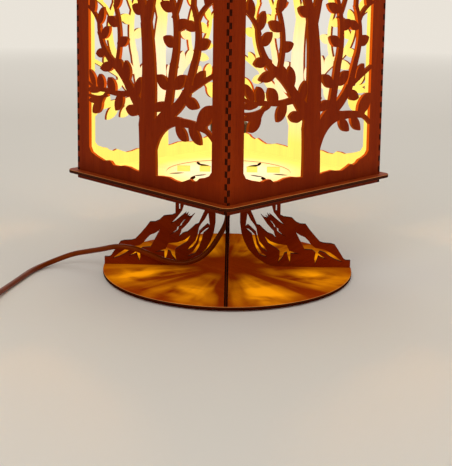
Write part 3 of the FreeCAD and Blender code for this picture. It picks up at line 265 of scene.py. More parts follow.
class LanternSizes(bpy.types.PropertyGroup):
    """The sizes that a user would change."""

    cord_diameter: FloatProperty(
        name="Cord diameter",
        description="Outside diameter of the cord",
        unit="LENGTH",
        default=0.005,
    )
    coil_turns: IntProperty(
        name="Coil turns",
        description="Turns of the put-away coil, in two layers",
        default=6,
    )
    coil_radius: FloatProperty(
        name="Coil radius",
        description="Mean radius of the put-away coil",
        unit="LENGTH",
        default=0.030,
    )
    coil_pitch: FloatProperty(
        name="Coil pitch",
        description="Distance from one turn to the next",
        unit="LENGTH",
        default=0.0056,
    )
    edge_rounding: FloatProperty(
        name="Edge rounding",
        description="Rounding of the rims' and boards' edges",
        unit="LENGTH",
        default=0.0005,
    )
    glow_strength: FloatProperty(
        name="Glow strength",
        description="How strongly the faces inside the lantern are lit",
        default=1.0,
    )
    focal_length: FloatProperty(
        name="Focal length",
        description="Focal length of the camera in millimetres, on a 36 mm sensor",
        default=73.03,
    )


def sizes():
    return bpy.context.scene.lantern_sizes


def colours():
    return bpy.context.scene.lantern_colours


class Term:
    """A socket that adds Math nodes when it is used in an expression."""

    def __init__(self, shader, socket):
        self.shader = shader
        self.socket = socket

    def math(self, operation, *inputs):
        return self.shader.math_node(operation, *inputs)

    def __add__(self, other):
        return self.math("ADD", self, other)

    __radd__ = __add__

    def __sub__(self, other):
        return self.math("SUBTRACT", self, other)

    def __rsub__(self, other):
        return self.math("SUBTRACT", other, self)

    def __mul__(self, other):
        return self.math("MULTIPLY", self, other)

    __rmul__ = __mul__

    def __truediv__(self, other):
        return self.math("DIVIDE", self, other)

    def __rtruediv__(self, other):
        return self.math("DIVIDE", other, self)

    def __pow__(self, other):
        return self.math("POWER", self, other)

    def __abs__(self):
        return self.math("ABSOLUTE", self)

    def above(self, limit):
        return self.math("GREATER_THAN", self, limit)

    def clamped(self):
        return self.math("MINIMUM", self.math("MAXIMUM", self, 0.0), 1.0)


class Shader:
    """A material whose nodes all come from one method."""

    def __init__(self, name):
        self.material = bpy.data.materials.new(name)
        self.material.use_nodes = True
        self.tree = self.material.node_tree
        self.surface = self.tree.nodes["Principled BSDF"]
        coordinates = self.tree.nodes.new("ShaderNodeTexCoord")
        self.place = Term(self, coordinates.outputs["Object"])
        self.normal = Term(self, coordinates.outputs["Normal"])

    def node(self, kind, settings, inputs, output=0):
        """Add a node: its settings first, then the values or links of its sockets."""
        made = self.tree.nodes.new(kind)
        for name, setting in settings.items():
            if name == "stops":
                self.set_stops(made.color_ramp.elements, setting)
            else:
                setattr(made, name, setting)
        pairs = inputs.items() if isinstance(inputs, dict) else enumerate(inputs)
        for key, entry in pairs:
            self.plug_in(made.inputs[key], entry)
        return Term(self, made.outputs[output])

    def plug_in(self, socket, entry):
        if isinstance(entry, Term):
            self.tree.links.new(entry.socket, socket)
        elif socket.type == "RGBA":
            socket.default_value = (*entry[:3], 1.0)
        else:
            socket.default_value = entry

    @staticmethod
    def set_stops(elements, stops):
        while len(elements) < len(stops):
            elements.new(1.0)
        for element, (position, level) in zip(elements, stops):
            element.position = position
            element.color = (level, level, level, 1.0)

    def math_node(self, operation, *inputs):
        return self.node("ShaderNodeMath", {"operation": operation}, inputs)

    def vector_math(self, operation, *inputs, output=0):
        return self.node("ShaderNodeVectorMath", {"operation": operation}, inputs, output)

    def dot(self, vector, direction):
        return self.vector_math("DOT_PRODUCT", vector, direction, output="Value")

    def join(self, first, second, third):
        return self.node("ShaderNodeCombineXYZ", {}, [first, second, third])

    def split(self, vector, name):
        return self.node("ShaderNodeSeparateXYZ", {}, [vector], name)

    def noise(self, vector, scale, detail, roughness, distortion=0.0):
        inputs = {
            "Vector": vector,
            "Scale": scale,
            "Detail": detail,
            "Roughness": roughness,
            "Distortion": distortion,
        }
        return self.node("ShaderNodeTexNoise", {}, inputs, "Fac")

    def ramp(self, factor, *stops):
        return self.node("ShaderNodeValToRGB", {"stops": stops}, [factor])

    def mix(self, factor, first, second):
        """A mix of two colours, by the Mix node's colour sockets."""
        return self.node("ShaderNodeMix", {"data_type": "RGBA"}, {0: factor, 6: first, 7: second}, 2)

    def bump(self, height, strength, distance):
        return self.node("ShaderNodeBump", {}, {"Height": height, "Strength": strength, "Distance": distance})

    def finish(self, **sockets):
        """Set or link the surface's sockets, whose names have underscores for spaces."""
        for name, entry in sockets.items():
            self.plug_in(self.surface.inputs[name.replace("_", " ")], entry)
        return self.material


def shaded(colour, share):
    """A darker shade of a colour."""
    return tuple(share * channel for channel in colour)


def lamplight(shader, facing, grain, edge):
    """The bulb's light inside the walls: more where a face is near and turned to the bulb."""
    away = shader.vector_math("SUBTRACT", shader.place, (0, 0, GLOW_LEVEL))
    distance = shader.vector_math("LENGTH", away, output="Value")
    cosine = (0.0 - shader.dot(shader.normal, away) / distance).clamped()
    across = abs(shader.split(shader.place, "X"))
    deep = abs(shader.split(shader.place, "Y"))
    aside = shader.math_node("MAXIMUM", across, deep)
    height = shader.split(shader.place, "Z")
    over_walls = height.above(LID_LOW.z - TABLE_GAP) * shader.split(shader.normal, "Z").above(-0.5)
    between = height.above(INNER_FLOOR_HIGH.z - TABLE_GAP) * (1 - over_walls)
    direct = (cosine * (FULLY_LIT_WITHIN / distance)).clamped()
    least, least_on_face = BOUNCED_LIGHT
    bounced = facing * (least_on_face - least) + least + (1 - aside / LIT_REACH) * BOUNCED_NEAR_BULB
    level = shader.math_node("MAXIMUM", direct, bounced) * (1 - aside.above(LIT_REACH)) * between
    hue = shader.ramp(level, (0.30, 0.0), (0.55, 1.0))
    warm = shader.mix(hue, colours().dusk, colours().glow)
    nearest = cosine * (LIT_REACH / distance) ** 2
    warm = shader.mix(shader.ramp(nearest, (0.55, 0.0), (1.0, 1.0)), warm, colours().hot)
    warm = shader.mix(facing, edge, warm)
    strength = (level * 1.5).clamped() * (0.90 + grain * 0.10)
    return shader.mix(strength, (0, 0, 0), warm)


def plywood(name, axis, grain, light, dark, middle=0.0, edge=None, foot=None, rays=False, gloss=BOARD_GLOSS):
    """Stained plywood: grained faces square to axis, and burnt edges that show the plies.

    grain is the direction of the grain, and middle the board's middle along axis.
    edge is the colour of the bulb's light on cut edges inside the lantern, where there is any.
    foot is a level near which painted shade darkens the faces.
    rays adds the streaks of light that fall on a board under the lamp.
    gloss is the strength of the reflections.
    """
    shader = Shader(name)
    axis = Vector(axis).normalized()
    grain = Vector(grain).normalized()
    square = abs(shader.dot(shader.normal, axis))
    facing = square.above(0.6)
    along = shader.dot(shader.place, grain)
    sideways = shader.dot(shader.place, axis.cross(grain))
    through = shader.dot(shader.place, axis) - middle
    figure = shader.join(along * 0.09, sideways, through * 0.2)
    wide = shader.noise(figure, 60.0, 4.0, 0.55, 0.8)
    fine = shader.noise(shader.join(along * 0.03, sideways, through), 850.0, 3.0, 0.6, 0.2)
    pores = shader.noise(shader.join(along * 0.07, sideways, through), 2400.0, 2.0, 0.5)
    tone = shader.ramp(wide * 0.7 + fine * 0.3, (0.38, 0.0), (0.64, 1.0))
    wood = shader.mix(tone, dark, light)
    pore_mask = shader.ramp(pores, (0.30, 0.45), (0.43, 0.0))
    wood = shader.mix(pore_mask, wood, shaded(dark, 0.45))
    if foot is not None:
        # Painted shade: within 16 mm above the foot level the faces darken, up to half way to a deep shade of
        # the dark tone.
        above_painted_shade = (shader.split(shader.place, "Z") - foot) / 0.016
        wood = shader.mix((1 - above_painted_shade).clamped() * 0.5, wood, shaded(dark, 0.35))
    striation = shader.noise(shader.join(along, sideways, through * 0.07), 1300.0, 2.0, 0.6)
    core = (1 - abs(through) * 1400.0).clamped()
    soot = shader.mix((core * striation * 1.8).clamped(), colours().char, colours().char_light)
    face = shader.mix(facing, soot, wood)
    upward = shader.dot(shader.normal, axis).above(0.0)
    # A painted highlight on bevels that face partly upward, strongest halfway between up and out, varied by
    # noise.
    highlit_by_paint = square * square * (1 - square * square) * 4.0 * (0.45 + fine * 0.7) * upward
    relief = facing * pores * 0.35 + (1 - facing) * striation * 0.8
    sockets = {
        "Base_Color": shader.mix(highlit_by_paint.clamped(), face, colours().painted_edge_highlight),
        "Roughness": 0.74 - facing * 0.22 + fine * 0.12,
        "Normal": shader.bump(relief, 0.35, 0.0002),
        "Specular_IOR_Level": gloss,
        "Specular_Tint": WARM_SHEEN,
    }
    if rays:
        lit = shader.mix(light_streaks(shader), shaded(dark, 0.35), colours().ray)
        sockets["Emission_Color"] = shader.mix(facing * upward, (0, 0, 0), lit)
        sockets["Emission_Strength"] = 0.9
    elif edge is not None:
        sockets["Emission_Color"] = lamplight(shader, facing, tone, edge)
        sockets["Emission_Strength"] = sizes().glow_strength
    return shader.finish(**sockets)


def light_streaks(shader):
    """Light that falls through the slits above: a lobe each side of a leg, cut into streaks."""
    flat = shader.vector_math("MULTIPLY", shader.place, (1, 1, 0))
    radius = shader.vector_math("LENGTH", flat, output="Value")
    outward = shader.vector_math("NORMALIZE", flat)
    toward = shader.dot(outward, FRONT_LEG)
    beside = shader.dot(outward, LEG_SIDE)
    fourfold = 1 - toward * toward * beside * beside * 8.0
    lobes = 1 - fourfold * fourfold
    swept = shader.vector_math("ADD", outward, shader.join(0.0, 0.0, radius * 2.0))
    beams = shader.ramp(shader.noise(swept, 5.0, 2.0, 0.5, 0.2), (0.38, 0.0), (0.62, 1.0))
    clouds = shader.ramp(shader.noise(flat, 34.0, 2.0, 0.45, 0.4), (0.36, 0.0), (0.60, 1.0))
    reach = shader.ramp(radius / DISC_HIGH.x, (0.22, 0.0), (0.66, 1.0), (0.84, 1.0), (1.0, 0.45))
    patches = lobes * (clouds * 0.75 + 0.25) + (beams - 0.45) * 0.42
    return patches.clamped() * reach


def moulded(name, colour, roughness):
    """Moulded plastic or rubber with a fine spark-eroded grain."""
    shader = Shader(name)
    mottle = shader.noise(shader.place, 160.0, 3.0, 0.5)
    grain = shader.noise(shader.place, 3200.0, 2.0, 0.5)
    paler = tuple(min(1.0, 1.5 * channel + 0.004) for channel in colour)
    return shader.finish(
        Base_Color=shader.mix(mottle * 0.6 + grain * 0.25, colour, paler),
        Roughness=roughness + grain * 0.12,
        Normal=shader.bump(grain, 0.18, 0.0001),
        Specular_IOR_Level=0.3,
        Specular_Tint=WARM_SHEEN,
    )


def metal(name, colour, roughness):
    """Turned or drawn metal with fine rings about the axis and duller patches."""
    shader = Shader(name)
    height = shader.split(shader.place, "Z")
    rings = shader.noise(shader.join(0.0, 0.0, height), 5200.0, 2.0, 0.6)
    dull = shader.noise(shader.place, 220.0, 4.0, 0.6)
    tarnish = shaded(colour, 0.6)
    return shader.finish(
        Base_Color=shader.mix(shader.ramp(dull, (0.45, 0.0), (0.7, 0.8)), colour, tarnish),
        Metallic=1.0,
        Roughness=roughness + dull * 0.15 + rings * 0.06,
        Normal=shader.bump(rings, 0.12, 0.00005),
    )


def turned_wood():
    """Stained hardwood of the knob: growth rings about a line beside the knob's axis."""
    shader = Shader("knob_wood")
    offset = shader.vector_math("SUBTRACT", shader.place, (0.03, 0.01, 0.0))
    squashed = shader.vector_math("MULTIPLY", offset, (1.0, 1.0, 0.06))
    ring = shader.node(
        "ShaderNodeTexWave",
        {"wave_type": "RINGS", "rings_direction": "Z"},
        {"Vector": squashed, "Scale": 120.0, "Distortion": 2.2, "Detail": 2.0, "Detail Scale": 0.6},
        "Fac",
    )
    pores = shader.noise(shader.vector_math("MULTIPLY", shader.place, (1, 1, 0.08)), 2200.0, 2.0, 0.5)
    wood = shader.mix(ring * 0.7 + 0.1, colours().face, colours().face_light)
    wood = shader.mix(shader.ramp(pores, (0.3, 0.5), (0.45, 0.0)), wood, colours().char)
    return shader.finish(
        Base_Color=wood,
        Roughness=0.36 + pores * 0.2,
        Normal=shader.bump(pores, 0.15, 0.0001),
        Coat_Weight=0.3,
        Coat_Roughness=0.18,
    )


def sheath_finish():
    """Glossy brown sheath with faint drawn lines."""
    shader = Shader("cord_pvc")
    mottle = shader.noise(shader.place, 90.0, 3.0, 0.5)
    fine = shader.noise(shader.place, 1500.0, 2.0, 0.5)
    dark = shaded(colours().sheath, 0.45)
    return shader.finish(
        Base_Color=shader.mix(mottle, dark, colours().sheath),
        Roughness=0.24 + fine * 0.12,
        Normal=shader.bump(fine, 0.10, 0.0001),
        Specular_IOR_Level=0.12,
        Specular_Tint=WARM_SHEEN,
    )


def frosted_glass():
    """The lit frosted bulb, brightest in its middle."""
    shader = Shader("bulb_frosted_glass")
    height = shader.split(shader.place, "Z")
    middle = (1 - abs(height - GLOW_LEVEL) * (0.9 / (BULB_HIGH.z - GLOW_LEVEL))).clamped()
    frost = shader.noise(shader.place, 900.0, 3.0, 0.6)
    return shader.finish(
        Base_Color=shader.mix(frost, (0.80, 0.76, 0.66), (0.90, 0.86, 0.78)),
        Roughness=0.45 + frost * 0.2,
        Normal=shader.bump(frost, 0.1, 0.0001),
        Emission_Color=shader.mix(middle, BULB_WARMTH, (1.0, 0.83, 0.45)),
        Emission_Strength=1.6,
    )


def emitter():
    """The light rods and their stem."""
    shader = Shader("bulb_emitter")
    grain = shader.noise(shader.place, 2500.0, 2.0, 0.5)
    return shader.finish(
        Base_Color=shader.mix(grain, (0.8, 0.45, 0.08), (0.9, 0.6, 0.15)),
        Roughness=0.5 + grain * 0.1,
        Emission_Color=(1.0, 0.6, 0.15),
        Emission_Strength=3.0,
    )


def ceramic():
    """Glazed ceramic of the terminal block."""
    shader = Shader("holder_ceramic")
    mottle = shader.noise(shader.place, 300.0, 3.0, 0.5)
    return shader.finish(
        Base_Color=shader.mix(mottle, (0.72, 0.70, 0.64), (0.82, 0.80, 0.75)),
        Roughness=0.22 + mottle * 0.15,
        Normal=shader.bump(mottle, 0.05, 0.0001),
    )


def dress(node, material):
    """Give a CAD node that stays in view its finish."""
    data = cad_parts[node].data
    data.materials.clear()
    data.materials.append(material)


def settled(name, mesh, material, body, nodes, smooth=True):
    """Make a piece of a mesh that stands for CAD nodes and rides on their body."""
    data = bpy.data.meshes.new(name)
    mesh.to_mesh(data)
    mesh.free()
    data.materials.append(material)
    piece = bpy.data.objects.new(name, data)
    if smooth:
        data.shade_smooth()
        data.set_sharp_from_angle(angle=SHARP_ANGLE)
        even = piece.modifiers.new("even_normals", "WEIGHTED_NORMAL")
        even.keep_sharp = True
    bpy.context.scene.collection.objects.link(piece)
    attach(piece, body)
    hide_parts(*nodes)
    return piece


def merged_copy(node):
    """A copy of a CAD node's mesh, merged, with its flat faces made whole."""
    mesh = bmesh.new()
    mesh.from_mesh(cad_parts[node].data)
    bmesh.ops.remove_doubles(mesh, verts=mesh.verts, dist=0.002 * MM)
    bmesh.ops.dissolve_limit(
        mesh,
        angle_limit=math.radians(0.5),
        verts=mesh.verts,
        edges=mesh.edges,
        use_dissolve_boundaries=False,
    )
    return mesh


def soften(mesh, width, segments=2, test=None):
    """Round the sharp edges, or those of them whose two ends pass the test."""
    sharp = [
        edge
        for edge in mesh.edges
        if len(edge.link_faces) == 2
        and edge.calc_face_angle() > SHARP_ANGLE
        and (not test or all(test(vert.co) for vert in edge.verts))
    ]
    bmesh.ops.bevel(
        mesh,
        geom=sharp,
        offset=width,
        offset_type="OFFSET",
        affect="EDGES",
        segments=segments,
        profile=0.5,
        material=-1,
        clamp_overlap=True,
    )


def spun(profile, steps, closed=False):
    """A shape turned about the Z axis from points of (radius, height) in millimetres."""
    mesh = bmesh.new()
    points = [mesh.verts.new((radius * MM, 0, height * MM)) for radius, height in profile]
    pairs = list(zip(points, points[1:]))
    if closed:
        pairs.append((points[-1], points[0]))
    lines = [mesh.edges.new(pair) for pair in pairs]
    bmesh.ops.spin(
        mesh,
        geom=points + lines,
        cent=CENTRE,
        axis=UP,
        angle=FULL_TURN,
        steps=steps,
        use_merge=True,
    )
    bmesh.ops.remove_doubles(mesh, verts=mesh.verts, dist=0.001 * MM)
    bmesh.ops.recalc_face_normals(mesh, faces=mesh.faces)
    return mesh


def ribs(radius_start, radius_end, start, end, count, depth):
    """Points of a ribbed taper: each rib is a rounded step, with a groove between."""
    points = []
    pitch = (end - start) / count
    for index in range(count):
        for share, inset in ((0.0, depth), (0.22, depth), (0.34, 0.0), (0.88, 0.0)):
            along = (index + share) / count
            radius = radius_start + (radius_end - radius_start) * along - inset
            points.append((radius, start + pitch * (index + share)))
    points.append((radius_end - depth, end))
    return points


def lofted(stations, sides):
    """A closed form through rounded sections: (height, half width, half depth, squareness) in mm."""
    mesh = bmesh.new()
    rings = []
    for height, half_width, half_depth, squareness in stations:
        verts = bmesh.ops.create_circle(mesh, cap_ends=False, segments=sides, radius=1.0)["verts"]
        for vert in verts:
            across, deep = vert.co.x, vert.co.y
            vert.co = Vector((
                math.copysign(abs(across) ** (2 / squareness), across) * half_width,
                math.copysign(abs(deep) ** (2 / squareness), deep) * half_depth,
                height,
            )) * MM
        rings.append(list(dict.fromkeys(edge for vert in verts for edge in vert.link_edges)))
    for lower, upper in zip(rings, rings[1:]):
        bmesh.ops.bridge_loops(mesh, edges=lower + upper)
    for ring in (rings[0], rings[-1]):
        bmesh.ops.edgeloop_fill(mesh, edges=ring)
    bmesh.ops.recalc_face_normals(mesh, faces=mesh.faces)
    return mesh


def aimed(mesh, place, heading):
    """Turn a shape made along +Z to a heading and put it in place."""
    turn = UP.rotation_difference(heading).to_matrix().to_4x4()
    bmesh.ops.transform(mesh, matrix=Matrix.Translation(place) @ turn, verts=mesh.verts)
    return mesh


def switch_point(forward, height):
    return tuple(SWITCH_MIDDLE + SWITCH_HEADING * forward + UP * height)


def coil_points():
    """The coil: in at a steady rate for half of its turns, up one layer, and out again."""
    half = sizes().coil_turns / 2
    inner = sizes().coil_radius - sizes().coil_pitch * half / 2
    stretch = 1 / math.cos(math.pi / POINTS_PER_TURN)
    points = []
    for index in range(sizes().coil_turns * POINTS_PER_TURN + 1):
        from_middle = index / POINTS_PER_TURN - half
        radius = inner + sizes().coil_pitch * abs(from_middle)
        climb = min(max((from_middle + 0.25) / 0.5, 0.0), 1.0)
        height = sizes().cord_diameter / 2 + TABLE_GAP + sizes().coil_pitch * climb
        angle = COIL_HEADING + math.pi / 2 - FULL_TURN * index / POINTS_PER_TURN
        outward = Vector((math.cos(angle), math.sin(angle), 0))
        points.append(COIL_MIDDLE + outward * (radius * stretch) + UP * height)
    return points


def cord_route():
    """The cord's whole route, from the grip through the switch and the coil to the plug."""
    switch_low, switch_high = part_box("switch_bottom")
    half_switch = (switch_high.y - switch_low.y) / 2
    entry = switch_high.z
    route = [(0, 0, GRIP_LOW.z), (0, 0, GRIP_LOW.z - GRIP_STUB)] + LEAD_ROUTE
    for forward in (-half_switch - SWITCH_STUB, -half_switch, half_switch, half_switch + SWITCH_STUB):
        route.append(switch_point(forward, entry))
    route += LINK_ROUTE
    coil = coil_points()
    heading = Vector((math.cos(COIL_HEADING), math.sin(COIL_HEADING), 0))
    stub = heading * sizes().cord_diameter
    coil_start, coil_end = coil[0], coil[-1]
    route += [coil_start - stub - heading * COIL_STUB_RUN, coil_start - stub]
    route += coil[1:-1]
    place = coil_end + stub
    route.append(place)
    plug_low, plug_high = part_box("plug_body")
    drop = UP * ((plug_low.z + plug_high.z) / 2 - place.z)
    for run, fall in zip(TAIL_RUNS, (CENTRE, drop, CENTRE)):
        place = place + heading * run + fall
        route.append(place)
    return [tuple(point) for point in route]


class LANTERN_OT_stage(bpy.types.Operator):
    """Make the camera, the floor, the lamps and the background"""

    bl_idname = "lantern.stage"
    bl_label = "Stage"

    def execute(self, context):
        self.camera(context)
        self.floor(context)
        self.lamps(context)
        self.background(context)
        context.scene.view_settings.view_transform = "Standard"
        return {"FINISHED"}

    def camera(self, context):
        data = bpy.data.cameras.new("camera")
        data.sensor_fit = "HORIZONTAL"
        data.sensor_width = 36
        data.lens = sizes().focal_length
        data.shift_y = CAMERA_SHIFT
        data.clip_start = 0.01
        camera = bpy.data.objects.new("camera", data)
        context.scene.collection.objects.link(camera)
        upward = CAMERA_RIGHT.cross(CAMERA_FORWARD)
        turn = Matrix((CAMERA_RIGHT, upward, -CAMERA_FORWARD)).transposed().to_4x4()
        camera.matrix_world = Matrix.Translation(CAMERA_PLACE) @ turn
        context.scene.camera = camera

    def floor(self, context):
        mesh = bmesh.new()
        bmesh.ops.create_circle(mesh, cap_ends=True, segments=96, radius=FLOOR_RADIUS)
        data = bpy.data.meshes.new("floor")
        mesh.to_mesh(data)
        mesh.free()
        data.materials.append(self.floor_finish())
        floor = bpy.data.objects.new("floor", data)
        context.scene.collection.objects.link(floor)

    def floor_finish(self):
        """A plain floor that fades into the background far from the object."""
        shader = Shader("floor")
        flat = shader.vector_math("LENGTH", shader.place, output="Value")
        far = shader.ramp(flat / FLOOR_RADIUS, (0.22, 0.0), (0.7, 1.0))
        shader.finish(Base_Color=colours().floor, Roughness=0.85, Specular_IOR_Level=0.1)
        tint = {"Color": colours().floor, "Strength": 1.0}
        plain = shader.node("ShaderNodeEmission", {}, tint)
        output = shader.tree.nodes["Material Output"]
        surface = Term(shader, shader.surface.outputs[0])
        blend = shader.node("ShaderNodeMixShader", {}, [far, surface, plain])
        shader.plug_in(output.inputs["Surface"], blend)
        return shader.material

    def lamps(self, context):
        for name, place, energy in STUDIO_LAMPS:
            data = bpy.data.lights.new(name, "AREA")
            data.shape = "DISK"
            data.size = LAMP_WIDTH
            data.energy = energy
            lamp = bpy.data.objects.new(name, data)
            context.scene.collection.objects.link(lamp)
            aim = LAMP_AIM - Vector(place)
            lamp.matrix_world = Matrix.Translation(place) @ aim.to_track_quat("-Z", "Y").to_matrix().to_4x4()
        data = bpy.data.lights.new("bulb_light", "POINT")
        data.energy = 0.8
        data.color = BULB_WARMTH
        data.shadow_soft_size = 0.012
        lamp = bpy.data.objects.new("bulb_light", data)
        lamp.location = (0, 0, GLOW_LEVEL)
        context.scene.collection.objects.link(lamp)

    def background(self, context):
        world = bpy.data.worlds.new("background")
        world.use_nodes = True
        context.scene.world = world
        tree = world.node_tree
        soft = tree.nodes["Background"]
        soft.inputs["Color"].default_value = (1.0, 0.98, 0.95, 1.0)
        soft.inputs["Strength"].default_value = 0.50
        seen = tree.nodes.new("ShaderNodeBackground")
        seen.inputs["Color"].default_value = (*colours().floor, 1.0)
        paths = tree.nodes.new("ShaderNodeLightPath")
        most = paths.outputs["Is Camera Ray"]
        for name in ("Is Glossy Ray", "Is Transmission Ray"):
            either = tree.nodes.new("ShaderNodeMath")
            either.operation = "MAXIMUM"
            tree.links.new(most, either.inputs[0])
            tree.links.new(paths.outputs[name], either.inputs[1])
            most = either.outputs[0]
        blend = tree.nodes.new("ShaderNodeMixShader")
        tree.links.new(most, blend.inputs[0])
        tree.links.new(soft.outputs[0], blend.inputs[1])
        tree.links.new(seen.outputs[0], blend.inputs[2])
        tree.links.new(blend.outputs[0], tree.nodes["World Output"].inputs["Surface"])


class LANTERN_OT_cord(bpy.types.Operator):
    """Lay the cord from the lamp through its switch and coil to the plug"""

    bl_idname = "lantern.cord"
    bl_label = "Cord"

    def execute(self, context):
        data = bpy.data.curves.new("mains_cord", "CURVE")
        data.dimensions = "3D"
        data.bevel_depth = sizes().cord_diameter / 2
        data.bevel_resolution = 5
        data.resolution_u = 6
        data.use_fill_caps = True
        route = cord_route()
        spline = data.splines.new("NURBS")
        spline.points.add(len(route) - 1)
        for point, place in zip(spline.points, route):
            point.co = (*place, 1.0)
        spline.order_u = 3
        spline.use_endpoint_u = True
        data.materials.append(sheath_finish())
        cord = bpy.data.objects.new("mains_cord", data)
        context.scene.collection.objects.link(cord)
        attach(cord, "stand")
        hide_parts("cord_lead", "cord_link", "cord_coil", "cord_tail")
        return {"FINISHED"}


class LANTERN_OT_plywood(bpy.types.Operator):
    """Finish the walls, legs, boards and rims as burnt and stained plywood"""

    bl_idname = "lantern.plywood"
    bl_label = "Plywood"

    def execute(self, context):
        tint = colours()
        dark, light = tint.face, tint.face_light
        half = abs(WALL_MIDDLE)
        for node, axis, middle in (
            ("wall_front", (0, 1, 0), -half),
            ("wall_back", (0, 1, 0), half),
            ("wall_right", (1, 0, 0), half),
            ("wall_left", (1, 0, 0), -half),
        ):
            # The walls get painted shade just above the lower rim.
            dress(node, plywood(node, axis, UP, light, dark, middle, tint.ember, RIM_HIGH.z))
        slope = (0.86, 0.0, 0.5)
        for node, angle in (
            ("leg_front_right", -45),
            ("leg_back_right", 45),
            ("leg_back_left", 135),
            ("leg_front_left", 225),
        ):
            turn = Matrix.Rotation(math.radians(angle), 3, "Z")
            across, grain = turn @ Vector((0, 1, 0)), turn @ Vector(slope)
            dress(node, plywood(node, across, grain, light, dark, edge=tint.tab))
        board = (tint.board_light, tint.board)
        rim = (tint.rim_light, tint.rim)
        for node, shades, edge in (
            ("hub_plate", (light, dark), None),
            ("centring_disc", board, tint.ember),
            ("floor_ring", board, tint.ember),
            ("lid_locator", rim, tint.ember),
        ):
            dress(node, self.board_finish(node, shades, edge))
        for node, body, slot, shades, edge, rays, gloss in (
            ("base_disc", "stand", "ply_board", board, None, True, 0.0),
            ("lower_rim", "lantern", "ply_rim", rim, None, False, RIM_GLOSS),
            ("upper_rim", "lantern", "ply_rim", rim, None, False, RIM_GLOSS),
            ("lid_plate", "lid", "ply_rim", rim, tint.ember, False, RIM_GLOSS),
        ):
            mesh = merged_copy(node)
            soften(mesh, sizes().edge_rounding, 3)
            finish = self.board_finish(node, shades, edge, rays, gloss)
            settled(f"{node}_eased", mesh, finish, body, [node], smooth=False)
        return {"FINISHED"}

    def board_finish(self, node, shades, edge, rays=False, gloss=BOARD_GLOSS):
        low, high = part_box(node)
        middle = (low.z + high.z) / 2
        return plywood(node, UP, (1, 0, 0), *shades, middle, edge, rays=rays, gloss=gloss)


class LANTERN_OT_knob(bpy.types.Operator):
    """Turn the lid's knob with its bead and cove"""

    bl_idname = "lantern.knob"
    bl_label = "Knob"

    def execute(self, context):
        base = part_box("lid_knob")[0].z / MM
        outline = [
            (0, 0), (8.4, 0), (9.0, 0.6), (9.0, 1.7), (8.3, 2.5), (7.1, 3.4), (6.8, 5.2), (7.3, 6.9),
            (9.0, 8.3), (11.0, 9.9), (12.0, 12.3), (11.8, 14.6), (10.6, 16.8), (8.6, 18.5),
            (5.6, 19.6), (2.6, 20), (0, 20),
        ]
        mesh = spun([(radius, base + height) for radius, height in outline], 72)
        settled("lid_knob_turned", mesh, turned_wood(), "lid", ["lid_knob"])
        return {"FINISHED"}


